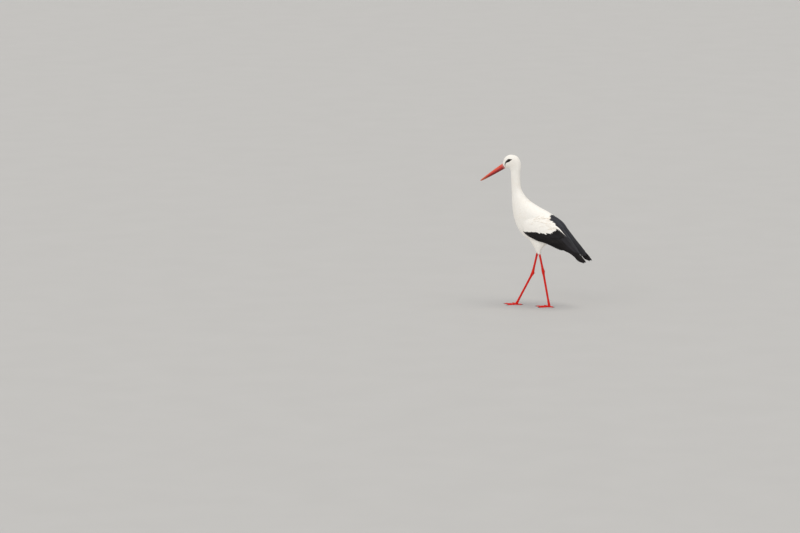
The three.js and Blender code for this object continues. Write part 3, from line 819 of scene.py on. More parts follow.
class Coat:
    """Feathers gathered into one mesh. Each is a thin closed vane that follows a surface."""

    def __init__(self, surface):
        self.surface = surface
        self.gathered = {}
        self.count = 0
        self.feathers = 0

    def gather(self, **values):
        for name, rows in values.items():
            self.gathered.setdefault(name, []).append(rows)

    def grow(
        self, row, column, length, width, heading, shape, height, stations=5, bow=0.0, **vane,
    ):
        """Adds vanes from their roots, each in its own heading from the lie of the surface."""
        s = stations_along(stations)
        rows, columns = [np.array(row, float)], [np.array(column, float)]
        for k in range(1, stations):
            step = length * (s[k] - s[k - 1])
            way = heading + bow * s[k]
            down, over = self.surface.steps(rows[-1], columns[-1])
            rows.append(rows[-1] + np.cos(way) * step / down)
            columns.append(columns[-1] + np.sin(way) * step / over)
        self.lay(np.stack(rows, 1), np.stack(columns, 1), width, shape, height, **vane)

    def lay(
        self, rows, columns, width, shape, height,
        across=3, crown=0.0006, thick=None, ruffle=0.0, slate=0.0,
    ):
        """Adds vanes along paths over the surface. height(s) is above it, in metres."""
        surface = self.surface
        many, stations = rows.shape
        s = stations_along(stations)
        c = np.linspace(-1, 1, across)
        down, over = surface.steps(rows, columns)
        way = np.arctan2(np.gradient(columns, axis=1) * over, np.gradient(rows, axis=1) * down)
        half = 0.5 * np.broadcast_to(width, (many,))[:, None] * shape(s)
        off = half[:, :, None] * c
        if ruffle:
            off = off * (1 + ruffle * rng.standard_normal(off.shape) * (np.abs(c) > 0.5))
        flat_rows = rows[:, :, None] - (np.sin(way) / down)[:, :, None] * off
        flat_columns = columns[:, :, None] + (np.cos(way) / over)[:, :, None] * off
        base = surface.look(surface.points, flat_rows, flat_columns)
        edge = surface.columns - 1
        facing = unit(surface.look(
            surface.normal, np.clip(flat_rows, 0, surface.rows - 1),
            flat_columns if surface.closed else np.clip(flat_columns, 0, edge),
        ))
        lift = np.broadcast_to(height(s), (many, stations))[:, :, None] + crown * (1 - c**2)
        top = base + facing * lift[..., None]
        along = np.broadcast_to(s[:, None], top.shape[1:3])
        side = np.broadcast_to(c, top.shape[1:3])
        ring = across
        if thick:
            under = top[:, :, 1:-1] - facing[:, :, 1:-1] * thick
            top = np.concatenate([top, under[:, :, ::-1]], axis=2)
            facing = np.concatenate([facing, -facing[:, :, 1:-1][:, :, ::-1]], axis=2)
            along = np.concatenate([along, along[:, 1:-1]], axis=1)
            side = np.concatenate([side, side[:, 1:-1][:, ::-1]], axis=1)
            ring = 2 * across - 2
        each = stations * ring
        quads = quads_round(stations, ring)
        j = np.arange(1, ring - 1)
        start = np.stack([np.zeros_like(j), j + 1, j], -1)
        end = np.stack([np.zeros_like(j), j, j + 1], -1) + (stations - 1) * ring
        triangles = np.concatenate([start, end])
        if surface.hand > 0:
            quads = quads[:, ::-1]
            triangles = triangles[:, ::-1]
        first = self.count + each * np.arange(many)[:, None, None]
        turns = columns[:, 0] / surface.columns
        spot = np.stack([turns - np.floor(turns), rows[:, 0] / surface.rows], -1)
        self.gather(
            quads=(quads[None] + first).reshape(-1, 4),
            triangles=(triangles[None] + first).reshape(-1, 3),
            points=top.reshape(-1, 3),
            facing=facing.reshape(-1, 3),
            along=np.tile(along.ravel(), many),
            across=np.tile(side.ravel(), many),
            odd=np.repeat(rng.random(many), each),
            # How much painted shade each white vane takes at its edges, and how much painted sheen
            # greys each dark one.
            slate=np.full(each * many, slate),
            spot=np.repeat(spot, each, axis=0),
            strip=np.repeat(self.feathers + np.arange(many), each),
        )
        self.count += each * many
        self.feathers += many

    def piece(self, name, slot, nodes, material, soften=0.6, strips=None):
        """The finished mesh. Each feather has a patch of the flat layout at its root's place, or a
        strip of its own.
        """
        whole = {key: np.concatenate(values) for key, values in self.gathered.items()}
        mesh = make_mesh(name, whole["points"], whole["quads"], whole["triangles"])
        for key in ("along", "across", "odd", "slate"):
            store(mesh, key, whole[key])
        along, across, strip, spot = (whole[key] for key in ("along", "across", "strip", "spot"))
        bend = 0.12 * (1 - across**2)
        if strips:
            high = math.ceil(self.feathers / strips)
            place = np.stack([
                (strip % strips + 0.5 + 0.44 * across) / strips,
                (strip // strips + 0.08 + 0.84 * along - 0.02 * bend) / high,
            ], -1)
        else:
            low, high = spot.min(axis=0), spot.max(axis=0)
            spot = 0.01 + 0.98 * (spot - low) / np.maximum(high - low, 1e-6)
            place = spot + FEATHER_PATCH * np.stack([across * 0.5, along * 0.8 - bend], -1)
        store_map(mesh, place)
        if soften:
            soften_normals(mesh, whole["facing"], soften)
        finish_piece(add_object(name, mesh), nodes, material)


def soften_normals(mesh, facing, share):
    """Lights each vane's upper side more like the surface under it. Undersides stay as they are."""
    faces = read(mesh.polygons, "loop_total", kind=np.int32)
    flat = np.repeat(read(mesh.polygon_normals, "vector", 3), faces, axis=0)
    vertex = read(mesh.loops, "vertex_index", kind=np.int32)
    outward = facing[vertex]
    upper = np.sum(flat * outward, axis=1) > 0.2
    own = read(mesh.vertex_normals, "vector", 3)[vertex]
    eased = unit(own * (1 - share) + outward * share)
    mesh.normals_split_custom_set(np.where(upper[:, None], eased, flat))


def store_map(mesh, place):
    """The flat layout, as a UV map named OFBake."""
    layer = mesh.uv_layers.new(name="OFBake")
    place = np.clip(place, 0, 1)[read(mesh.loops, "vertex_index", kind=np.int32)]
    layer.data.foreach_set("uv", place.astype(np.float32).ravel())


def stations_along(count):
    """Places along a feather, from 0 at its root to 1 at its tip and closer toward the tip."""
    return 1 - (1 - np.linspace(0, 1, count)) ** 1.6


# How far a root strays from its even place, as a share of the gap to the next.
STRAY = 0.35


def staggered(surface, first, last, step, pitch):
    """Roots in staggered rows across a surface. Step and pitch are metres, as functions of row."""
    rows, columns = [], []
    row = first
    line = 0
    spots = np.arange(surface.columns)
    while row < last:
        i = int(np.clip(round(row), 0, surface.rows - 1))
        length = np.concatenate([[0], np.cumsum(surface.column_step[i][spots[:-1]])])
        count = max(int(length[-1] / pitch(row)), 3)
        shares = (np.arange(count) + 0.5 * (line % 2) + STRAY * rng.uniform(-1, 1, count)) / count
        place = np.interp(np.clip(shares, 0, 1) * length[-1], length, spots.astype(float))
        down = step(row) / max(float(np.median(surface.row_step[i])), 1e-5)
        rows.append(row + down * STRAY * rng.uniform(-1, 1, count))
        columns.append(place)
        row += down
        line += 1
    return np.concatenate(rows), np.concatenate(columns)


def outline(base, swells_over, swell_power, tip_at, tip_power, least):
    """A feather's width, as a share of its greatest, as a function of the place along it."""
    return lambda s: np.clip(
        np.minimum(base + s / swells_over, 1) ** swell_power * (1 - s**tip_at) ** tip_power,
        least, 1,
    )


# A small feather, broad past its middle, and a long pointed one.
blade = outline(0.08, 0.45, 0.5, 3.4, 0.75, 0.06)
lance = outline(0.1, 0.3, 0.5, 2.2, 0.7, 0.05)
# A flight feather with a rounded tip, and an outer one, drawn out to a blunt point.
quill = outline(0.35, 0.3, 1, 12, 0.5, 0.08)
pointed_quill = outline(0.35, 0.3, 1, 4.4, 0.65, 0.06)


def diving(rise, dive, share=1.0, power=2):
    """Heights in mm. A root dives under the feathers before it, over a share of the length."""
    return lambda s: (rise - dive * np.clip(1 - s / share, 0, 1) ** power) * MM


# ---- Skin ----
COAT_STOPS = [0, 2, 5, 8, 11, 14, 17, 19.2]
COAT_DEPTHS = [0.8, 1.0, 1.2, 1.6, 2.3, 3.0, 3.2, 3.0]


def coat_depth(position):
    """How thick the plumage is over the body's skin, in mm, at a position counted in sections."""
    return np.interp(position, COAT_STOPS, COAT_DEPTHS)


# Where the white coverts end on each wing: how far along it, from the ridge (-1) to the hem (1).
BORDER = [
    # way down, along
    (-1, 121), (-0.5, 129), (-0.2, 133), (-0.1, 128), (-0.03, 124), (0.0, 148), (0.02, 170),
    (0.045, 196), (0.12, 202), (0.18, 203), (0.30, 200), (0.435, 190), (0.542, 167), (0.63, 126),
    (0.736, 76), (1.0, 24),
]
BORDER_FALLS, BORDER_ALONGS = zip(*BORDER)


def border_along(fall):
    """How far along the wing its white coverts reach."""
    return np.interp(fall, BORDER_FALLS, BORDER_ALONGS)


def in_wing(points):
    """Points in the frame as (along, across, out) in the wing's own directions, in mm."""
    out, back, up = np.moveaxis(millimetres(points) - WING_ROOT, -1, 0)
    return *rotated(back, up, WING_PITCH), np.abs(out)


def wing_edges(along):
    """How high the crest and the hem are across the wing at a place along it."""
    position = wing_position(np.clip(along, 2, WING_LENGTH))
    return (curve_through(wing_curves[edge], position)[..., 2] for edge in ("crest", "hem"))


def under_dark(points):
    """1 where dark feathers lie over the skin."""
    along, across, _ = in_wing(points)
    crest, hem = wing_edges(along)
    fall = np.where(across > crest - 10, -0.5, (crest - across) / (crest - hem))
    return smoothstep(along - border_along(fall), -2, 2) * (fall < 1.1)


SHANK_RINGS = [
    # share of the way from the cuff to the ankle, depth, width
    (-0.55, 16, 15), (-0.3, 14.5, 13.0), (-0.02, 13.4, 11.6), (0.25, 12.8, 10.9), (0.5, 12.6, 10.7),
    (0.75, 13.8, 11.8), (0.86, 15.6, 13.6), (0.94, 18.4, 15.8),
]
TARSUS_RINGS = [
    # share of the way from the ankle to the foot, depth, width
    (0.0, 19.8, 16.8), (0.035, 18.4, 15.8), (0.075, 15.4, 13.4), (0.14, 13.6, 11.6),
    (0.32, 12.8, 10.9), (0.6, 12.6, 10.8), (0.84, 12.8, 11.5), (0.92, 13.9, 13.2),
    (0.965, 14.8, 15.0), (1.0, 15.8, 16.8),
]
SOLE_RINGS = [
    # below the foot's middle, depth, width
    (8, 15.6, 16.6), (11.9, 12.0, 13.0),
]
HEEL = np.array([0, 1.2, 0])
LEG_SIDES = 48
SCALES_ROUND = 8
SCALE_SIZE = 4.5
SCALE_DEPTH = 0.42
# The lie of a leg's feathers ends this far down its tube, in mm, and the scales begin.
BARE_FROM, BARE_FULL = 52, 62


def scale_relief(along, sides, round_count):
    """The height of close six-sided scales, 0 in the grooves and 1 on each scale."""
    around = round_angles(sides) * round_count / (2 * np.pi)
    gaps = []
    for shift in (0.0, 0.5):
        du = np.abs(around - shift - np.round(around - shift))
        dv = np.abs(along - shift - np.round(along - shift))[:, None] * 1.3
        gaps += [np.hypot(du, dv), np.hypot(1 - du, dv), np.hypot(du, 1.3 - dv)]
    gaps = np.sort(np.stack(gaps), axis=0)
    return smoothstep(gaps[1] - gaps[0], 0.0, 0.26)


def leg_tube(name):
    """The bare leg from inside the thigh down to the knuckle of the foot, with its scales."""
    side, _, *spots = LEGS[name]
    top, joint, bottom = (leg_spot(side, spot) for spot in spots)
    rings = [(*(top + (joint - top) * share), deep, wide) for share, deep, wide in SHANK_RINGS]
    rings += [
        (*(joint + HEEL * (share == 0) + (bottom - joint) * share), deep, wide)
        for share, deep, wide in TARSUS_RINGS
    ]
    rings += [(*(bottom - [0, 0, below]), deep, wide) for below, deep, wide in SOLE_RINGS]
    path = curve_through(rings, np.linspace(0, len(rings) - 1, 4000))
    walked = np.concatenate([[0], np.cumsum(np.linalg.norm(np.diff(path[:, :3], axis=0), axis=1))])
    stations = np.arange(0, walked[-1], SCALE_SIZE / 6)
    path = np.stack([np.interp(stations, walked, path[:, i]) for i in range(5)], -1)
    centre, half = path[:, :3], path[:, 3:] / 2
    along = unit(np.gradient(centre, axis=0))
    for _ in range(12):
        along[1:-1] = unit(along[:-2] + 2 * along[1:-1] + along[2:])
    relief = scale_relief(stations / SCALE_SIZE, LEG_SIDES, SCALES_ROUND)
    bare = smoothstep(stations, BARE_FROM, BARE_FULL)[:, None]
    swell = (relief - 1) * SCALE_DEPTH * bare * smoothstep(centre[:, 2], 2, 8)[:, None]
    points = round_section(
        centre[:, None], along[:, None], half[:, None] + swell[..., None], round_angles(LEG_SIDES),
    )
    points[..., 2] = np.maximum(points[..., 2], 0.05)
    mesh = tube_mesh("leg", metres(points))
    store(mesh, "scale", ends_too(1 - (1 - relief) * bare))
    return mesh


TOE_TAPER = 0.3
PAD_RELIEF = 0.55
PAD_LENGTH = 22


def toe_depth(distance, length):
    pads = PAD_RELIEF * np.cos(2 * np.pi * distance / PAD_LENGTH)
    return TOE_DEPTH * (1 - TOE_TAPER * distance / length) + pads


def toe_turn(name, toe):
    return math.radians(TOE_SPREADS[toe]) * LEGS[name][0]


def on_foot(name, x, y, z):
    """Points in the frame from distances round the middle of a foot, in mm."""
    side, _, _, _, foot = LEGS[name]
    return metres(np.stack([x + side * FEET_APART / 2, y + foot[0], z], -1))


def toe_points(name, toe, distance, x, z):
    """Points in the frame from distances across, up and out along a toe, in mm."""
    out, forward = rotated(x, -distance[:, None], toe_turn(name, toe))
    return on_foot(name, out, forward, z)


TOE_SIDES = 28
TOE_SCALES_ROUND = 7
TOE_SCALE = 3.0
TOE_PLATE = 3.3
TOE_RELIEF = 0.36
TOE_END = 3.0
SOLE_SINKS = 1.2
KNUCKLE_LIFT = 4.2
KNUCKLE_LENGTH = 16


def toe_tube(name, toe):
    """One toe out from the knuckle, with plates across its top and soft pads beneath."""
    length = TOE_LENGTHS[toe]
    rounding = TOE_END * np.sin(np.linspace(0, np.pi / 2, 6))
    distance = np.concatenate([np.arange(0, length - TOE_END, 0.9), length - TOE_END + rounding])
    full = toe_depth(distance, length)
    past = np.maximum(distance - (length - TOE_END), 0) / TOE_END
    deep = full * (0.5 + 0.5 * np.sqrt(np.clip(1 - past**2, 0, 1)))
    lift = KNUCKLE_LIFT * np.maximum(0, 1 - distance / KNUCKLE_LENGTH) ** 2
    middle = deep / 2 - SOLE_SINKS + lift + (full - deep) * 0.3
    angle = round_angles(TOE_SIDES)
    upper = np.clip(np.cos(angle), 0, 1) ** 0.5
    plates = 1 - smoothstep(np.abs(np.mod(distance / TOE_PLATE, 1) - 0.5), 0.36, 0.5)
    hexes = scale_relief(distance / TOE_SCALE, TOE_SIDES, TOE_SCALES_ROUND)
    relief = plates[:, None] * upper + hexes * (1 - upper)
    swell = (relief - 1) * TOE_RELIEF * smoothstep(distance, 4, 12)[:, None]
    radius = deep[:, None] / 2 + swell
    z = np.maximum(middle[:, None] + radius * np.cos(angle), 0.0)
    mesh = tube_mesh("toe", toe_points(name, toe, distance, radius * np.sin(angle), z))
    store(mesh, "scale", ends_too(relief))
    return mesh


WEB_REACH = 24
WEB_HOLLOW = 8.5
WEB_TOP, WEB_UNDER = 5.0, 3.4


def web(name, first, second):
    """The short skin between two front toes, hollowed at its outer edge."""
    share = np.linspace(0, 1, 15)
    start, end = toe_turn(name, first), toe_turn(name, second)
    turn = start + (end - start) * share
    reach = WEB_REACH - WEB_HOLLOW * np.sin(np.pi * share)

    def edge(distance, rise):
        return np.stack([*rotated(0, -distance, turn), np.full(len(turn), rise)], -1)

    (inner_top, outer_top), (inner_low, outer_low) = (
        (edge(2, rise + 1.5), edge(reach, rise)) for rise in (WEB_TOP, WEB_UNDER)
    )
    middle = (outer_top + outer_low) / 2 * [1.03, 1.03, 1]
    ring = np.stack([inner_top, outer_top, middle, outer_low, inner_low], axis=1)
    return tube_mesh("web", on_foot(name, *np.moveaxis(ring, -1, 0)))


def rings_at(*stretches):
    """Places of rings, as first, last and how many for each stretch, down a column."""
    return np.concatenate([np.linspace(*stretch) for stretch in stretches])[:, None]


# In mm: the short coat on the brow, how far bare skin stands out, the height of its folds, and how
# far out the flat floor of the eye's socket is from the eye's middle.
BROW_COAT = 1.2
BARE_PROUD = 0.6
FOLD_HIGH = 0.22
SOCKET_OUT = 1.0


def skin_of_head():
    """The head's skin, with a socket round each eye and folds in the bare skin before it."""
    position = rings_at((0.02, 3.3, 96), (3.4, 8.4, 24))
    points = brow(body_points(position, round_angles(168), -coat_depth(position)), BROW_COAT)
    left, forward, up = head_local(points)
    rim = slit_distance((left, forward, up))
    out = np.abs(left)
    fold = np.sin(rim * 7.0) * smoothstep(rim, 1.2, 1.5) * (1 - smoothstep(rim, 3.4, 4.2))
    moved = out + bare_lore((left, forward, up)) * (BARE_PROUD + FOLD_HIGH * fold)
    socket = 1 - smoothstep(rim, 0.86, 1.02)
    moved = moved * (1 - socket) + (EYE_PLACE[0] + SOCKET_OUT) * socket
    left = np.where(out > SIDE_OUT, np.sign(left) * moved, left)
    return tube_mesh("head_skin", head_point(left, forward, up))


# In mm: how thick the lids are, how much thinner at the corners, and how far off the eyeball.
LID_THICK = 0.95
CORNER_THIN = 0.25
LID_OFF_EYE = 0.35
CORNER_LONG = 0.10


def eyelids(name):
    """The thick rounded rim of the lids, lying on the eyeball, pinched at its two corners."""
    side = LEGS[name][0]
    turn, bend = round_angles(120)[:, None], round_angles(16)
    corner = np.abs(np.cos(turn)) ** 8
    long = LID_LONG * np.cos(turn) * (1 + CORNER_LONG * corner)
    high = LID_HIGH * np.sin(turn)
    reach = np.hypot(long, high)
    thick = LID_THICK - CORNER_THIN * corner
    base = np.sqrt(np.maximum((EYE_RADIUS + LID_OFF_EYE) ** 2 - reach**2, 0))
    rise = base + 0.85 * thick * np.sin(bend) - 0.28 * thick * np.cos(bend)
    wider = (reach + thick * np.cos(bend)) / reach
    forward, up = rotated(long, high, SLIT_SLOPE)
    return ring_mesh("lids", head_point(
        side * (EYE_PLACE[0] + rise), EYE_PLACE[1] + forward * wider, EYE_PLACE[2] + up * wider,
    ))


def skin_of_trunk():
    position = rings_at((7.9, 12, 26), (12.2, 19.4, 40))
    depth = coat_depth(position) + np.interp(position, [7.9, 8.4], [0.4, 0.0])
    return tube_mesh("trunk_skin", body_points(position, round_angles(64), -depth))


# In mm: the depth of the wing's coverts, and how far out the arm's inner side is.
WING_COAT = 6.0
ARM_INSIDE = 22


def skin_of_wing(name):
    """The folded arm under the coverts, let into the trunk."""
    side = LEGS[name][0]
    along, fall = np.linspace(8, 215, 46), np.linspace(0.04, 0.96, 26)
    outer = wing_points(along[:, None], fall, side, -WING_COAT)
    inner = outer[:, ::-1].copy()
    inner[..., 0] = side * ARM_INSIDE * MM
    return tube_mesh("wing_skin", np.concatenate([outer, inner], axis=1))


def skin_of_thigh(name):
    position = rings_at((0.3, 5.6, 40))
    depth = np.interp(position, [0.3, 3, 5.6], [4.2, 3.8, 2.6])
    return tube_mesh("thigh_skin", thigh_points(name, position, round_angles(56), -depth))


# Below this height, in mm, only the legs are left, and above the other there is only the head.
LEGS_BELOW = 345
HEAD_ABOVE = 780
# The bare legs are nearer the middle than this, and further forward, in mm.
LEGS_WITHIN = 60
LEGS_AHEAD_OF = 150


def make_skin():
    parts = [skin_of_head(), skin_of_trunk()]
    nodes = ["head", "neck", "trunk"]
    for name in LEGS:
        parts += [eyelids(name), skin_of_wing(name), skin_of_thigh(name), leg_tube(name)]
        parts += [toe_tube(name, toe) for toe in TOE_LENGTHS]
        parts += [web(name, "inner", "middle"), web(name, "middle", "outer")]
        nodes += [f"{part}_{name}" for part in ("thigh", "shank", "ankle", "tarsus", "foot")]
        nodes += [f"toe_{name}_{toe}" for toe in TOE_LENGTHS] + [f"wing_{name}_coverts"]
    skin = join_bodies("skin", parts)
    mesh = skin.data
    mesh.polygons.foreach_set("use_smooth", np.full(len(mesh.polygons), True))
    points = mesh_points(mesh)
    out, back, high = (points / MM).T
    cuff = np.where(out > 0, LEGS["left"][2][1], LEGS["right"][2][1])
    legs = (np.abs(out) < LEGS_WITHIN) & (high < LEGS_BELOW) & (back < LEGS_AHEAD_OF)
    store(mesh, "leg", (1 - smoothstep(high, cuff + 2, cuff + 14)) * legs)
    store(mesh, "lore", bare_lore(head_local(points), 0.7) * (high > HEAD_ABOVE))
    store(mesh, "dark", under_dark(points) * (high > LEGS_BELOW))
    finish_piece(skin, nodes, SKIN)


make_skin()


# ---- Bill, eyes and claws ----
# Which way each half lies from the mouth, its share of the depth, and how it tapers.
BILL_HALVES = {"upper": (1, 0.52, 0.7), "lower": (-1, 0.48, 0.48)}
BILL_TIP_DEPTH = 2.0
BILL_TIP_WIDTH = 2.2
# How far back and up the bill's root is let into the face, and half the gap between its halves.
BILL_SUNK = (2.5, 1.7)
BILL_GAP = 0.15
NOSTRIL = (13.0, 27.0)
NOSTRIL_DEEP = 1.5
FURROW_DEEP = 0.45
LIP_PROUD = 0.28


def bill_half(half):
    """One half of the bill, with a rounded ridge, a nostril slit and a groove before it."""
    side, share, power = BILL_HALVES[half]
    to_tip = rings_at((0, 0.22, 70), (0.223, 1, 120))
    taper = 1 - to_tip
    depth = share * (BILL_BASE_DEPTH * taper**power + BILL_TIP_DEPTH * to_tip)
    narrow = 0.72 * taper + 0.28 * taper**3
    half_width = (BILL_BASE_WIDTH * narrow + BILL_TIP_WIDTH * to_tip) / 2
    arc = np.linspace(0, np.pi, 73)
    along = to_tip * BILL_LENGTH
    level = np.sin(arc) ** 0.9
    lip = np.exp(-((level - 0.10) / 0.05) ** 2) * smoothstep(taper, 0.02, 0.2)
    radial = LIP_PROUD * lip
    if half == "upper":
        slit = np.exp(-((level - 0.50) / 0.055) ** 2)
        inside = smoothstep(along, NOSTRIL[0], NOSTRIL[0] + 2)
        inside = inside * (1 - smoothstep(along, NOSTRIL[1] - 4, NOSTRIL[1]))
        furrow = np.exp(-((level - 0.52) / 0.12) ** 2)
        fade = smoothstep(along, 8, 16) * (1 - smoothstep(along, 40, 92))
        radial = radial - NOSTRIL_DEEP * slit * inside - FURROW_DEEP * furrow * fade
    out = (half_width + radial) * np.cos(arc)
    rise = depth * level + radial * np.sin(arc)
    # The flat faces that the two halves close on.
    flat_out = half_width * np.linspace(-1, 1, 9)[1:-1]
    out = np.concatenate([out, flat_out], axis=1)
    rise = np.concatenate([rise, np.zeros_like(flat_out)], axis=1)
    c, s = math.cos(BILL_DROOP), math.sin(BILL_DROOP)
    off = (BILL_GAP + rise) * side
    forward = BILL_BASE[0] - BILL_SUNK[0] + along * (1 + BILL_SUNK[0] / BILL_LENGTH) * c + off * s
    up = BILL_BASE[1] + BILL_SUNK[1] - along * (1 + BILL_SUNK[1] / BILL_LENGTH) * s + off * c
    mesh = tube_mesh(f"bill_{half}", head_point(out, forward, up))
    # How far each point lies from the painted highlight on the upper ridge, at 0, to the painted
    # shade under the lower keel, at 1.
    height = np.clip(rise / depth, 0, 1)
    shade = 0.4 * (1 - height) if half == "upper" else 0.35 + 0.65 * height
    store(mesh, "along", ends_too(np.broadcast_to(to_tip, out.shape)))
    store(mesh, "across", ends_too(out / np.maximum(half_width, 1e-6)))
    store(mesh, "odd", ends_too(shade))
    finish_piece(add_object(f"bill_{half}", mesh), [f"bill_{half}"], BILL)


EYE_BULGE = 0.055
BULGE_ANGLE = 0.55


def eye_ball(name):
    """An eyeball with a clear bulge at its front."""
    side = LEGS[name][0]
    bend, angle = np.linspace(0.02, np.pi - 0.02, 72)[:, None], round_angles(64)
    reach = EYE_RADIUS * (1 + EYE_BULGE * np.exp(-((bend / BULGE_ANGLE) ** 2)))
    out = reach * np.cos(bend)
    flat = reach * np.sin(bend)
    mesh = tube_mesh(f"eye_{name}", head_point(
        side * (EYE_PLACE[0] - 0.1 + out), EYE_PLACE[1] + flat * np.cos(angle),
        EYE_PLACE[2] + flat * np.sin(angle),
    ))
    store(mesh, "out", ends_too(np.repeat(np.cos(bend), len(angle), axis=1)))
    finish_piece(add_object(f"eye_{name}", mesh), [f"eye_{name}"], EYE)


CLAW_SIDES = 24
CLAW_SUNK = 1.2


def claws(name):
    """The four short blunt claws of one foot, as one mesh."""
    points, quads, triangles, along = [], [], [], []
    share = np.linspace(0, 1, 22)
    angle = round_angles(CLAW_SIDES)
    for toe, length in TOE_LENGTHS.items():
        tip = toe_depth(length, length)
        size = np.interp(share, [0, 0.35, 0.7, 0.92, 1], [0.56, 0.5, 0.34, 0.19, 0.05]) * tip
        height = np.interp(share, [0, 0.35, 0.7, 1], [0.56, 0.5, 0.34, 0.15]) * tip
        distance = length - CLAW_SUNK + (CLAW_LENGTH + CLAW_SUNK) * share
        x = size[:, None] / 2 * np.sin(angle) * 1.05
        z = np.maximum(height[:, None] + size[:, None] / 2 * np.cos(angle), 0.1)
        claw = tube_mesh("claw", toe_points(name, toe, distance, x, z))
        first = sum(len(p) for p in points)
        points.append(mesh_points(claw))
        corners = [np.array(face.vertices) + first for face in claw.polygons]
        quads += [c for c in corners if len(c) == 4]
        triangles += [c for c in corners if len(c) == 3]
        along.append(ends_too(np.broadcast_to(share[:, None], x.shape)))
        bpy.data.meshes.remove(claw)
    mesh = make_mesh(f"claws_{name}", np.concatenate(points), quads, triangles)
    store(mesh, "along", np.concatenate(along))
    nodes = [f"claw_{name}_{toe}" for toe in TOE_LENGTHS]
    finish_piece(add_object(f"claws_{name}", mesh), nodes, CLAW)


for half in BILL_HALVES:
    bill_half(half)
for name in LEGS:
    eye_ball(name)
    claws(name)


# ---- White plumage ----
def at_section(position):
    return position * BODY_ROWS_PER_SECTION


def section(row):
    return row / BODY_ROWS_PER_SECTION


def size_along(stops, sizes, place=section):
    """A size in metres as a function of a surface's row, from sizes in mm at stops."""
    return lambda row: np.interp(place(row), stops, sizes) * MM


def settled(depth, rise, many, loose=0.35):
    """Heights from the root, under the surface, to the tip, which stands a little proud of it."""
    root = np.broadcast_to(depth, (many,))[:, None] * MM
    tip = (rise + loose * rng.standard_normal(many))[:, None] * MM
    return lambda s: -root * (1 - s) ** 2 + tip * s**1.5


def scatter(
    coat, row, column, length, width, shape, depth, rise=0.0, loose=0.35, astray=0.10, curl=0.15,
    lengths=(0.85, 1.15), widths=(0.85, 1.15), **vane,
):
    """Grows feathers that differ a little in size, heading, bend and height."""
    many = len(row)
    coat.grow(
        row, column, length(row) * rng.uniform(*lengths, many),
        width(row) * rng.uniform(*widths, many), rng.normal(0, astray, many), shape,
        settled(depth, rise, many, loose), bow=rng.normal(0, curl, many), **vane,
    )


def body_coat(
    name, node, first, last, length, width, keep=None, shape=blade, soften=0.85, **vane,
):
    """One stretch of plumage round the body, in rows from the head back."""
    coat = Coat(body)
    row, column = staggered(
        body, at_section(first), at_section(last),
        step=lambda r: 0.24 * length(r), pitch=lambda r: 0.43 * width(r),
    )
    if keep is not None:
        kept = keep(row, column, length(row))
        row, column = row[kept], column[kept]
    local = head_local(body.look(body.points, row, column))
    near_eye = np.where(local[2] > SIDE_LOW, 1 - smoothstep(slit_distance(local), 1.1, 2.2), 0)
    depth = 0.85 * coat_depth(section(row)) * (1 - 0.8 * near_eye)
    scatter(coat, row, column, length, width, shape, depth, **vane)
    coat.piece(name, "plumage", [node], WHITE, soften)


def feathered_face(row, column, length):
    """Leaves the bare skin round the eyes and before them free of feathers, tips and all."""
    tip = row + 0.9 * length / body.steps(row, column)[0]
    root, end = (head_local(body.look(body.points, r, column)) for r in (row, tip))
    off_skin = (bare_lore(root, -0.2) < 0.5) & (bare_lore(end, -1.0) < 0.5)
    return off_skin & (slit_distance(root) > 1.2) & (slit_distance(end) > 1.12)


# In mm: how far inside its edges a wing hides roots, and how far along it the dark back begins.
WING_HIDES = 22
WING_HIDES_FROM = 30
WING_HIDES_OUTSIDE = 20
DARK_BACK_FROM = 126
DARK_BACK_BELOW_CREST = 30
BACK_ENDS = 17.3


def outside_wings(row, column, length):
    """Leaves out the roots that the folded wings hide, and the back where dark feathers begin."""
    along, across, out = in_wing(body.look(body.points, row, column))
    crest, hem = wing_edges(along)
    inside = (along > WING_HIDES_FROM) & (out > WING_HIDES_OUTSIDE)
    inside &= (across < crest - WING_HIDES) & (across > hem + WING_HIDES)
    back = (along + 0.95 * length / MM > DARK_BACK_FROM) & (section(row) < BACK_ENDS)
    back &= across > crest - DARK_BACK_BELOW_CREST
    return ~(inside | back)


head_length = size_along([0, 1, 3, 5, 8], [3.0, 4.2, 6.4, 9.5, 15.0])
head_width = size_along([0, 1, 3, 5, 8], [1.3, 1.8, 2.5, 3.1, 3.7])
body_coat(
    "coat_face", "head", 0.1, 3.3, head_length, head_width, keep=feathered_face, stations=4,
    crown=0.0002, loose=0.06,
)
body_coat(
    "coat_head", "head", 3.15, 7.9, head_length, head_width, keep=feathered_face,
    crown=0.0002, loose=0.08,
)
body_coat(
    "coat_neck", "neck", 7.5, 12.2, size_along([7, 9, 11, 12.4], [15, 21, 34, 44]),
    size_along([7, 9, 11, 12.4], [3.2, 4.0, 5.4, 6.8]), shape=lance, crown=0.0003, loose=0.14,
    stations=6,
)
body_coat(
    "coat_trunk", "trunk", 11.6, 19.0, size_along([11, 12.5, 14, 16, 19], [34, 40, 42, 42, 38]),
    size_along([11, 12.5, 14, 16, 19], [6.5, 8.5, 11, 12, 12]), keep=outside_wings, stations=7,
    across=5, crown=0.0005, loose=0.22, soften=0.8,
)


def wing_row(along):
    return (np.asarray(along, float) - 2) / (WING_LENGTH - 2) * (WING_ROWS - 1)


def wing_along(row):
    return 2 + row * (WING_LENGTH - 2) / (WING_ROWS - 1)


def wing_column(fall):
    return (np.asarray(fall, float) + 1) / 2 * (WING_COLUMNS - 1)


def wing_fall(column):
    return 2 * np.asarray(column, float) / (WING_COLUMNS - 1) - 1


covert_length = size_along([0, 60, 130, 215], [14, 19, 27, 34], wing_along)
covert_width = size_along([0, 60, 130, 215], [6, 7.5, 10, 13], wing_along)


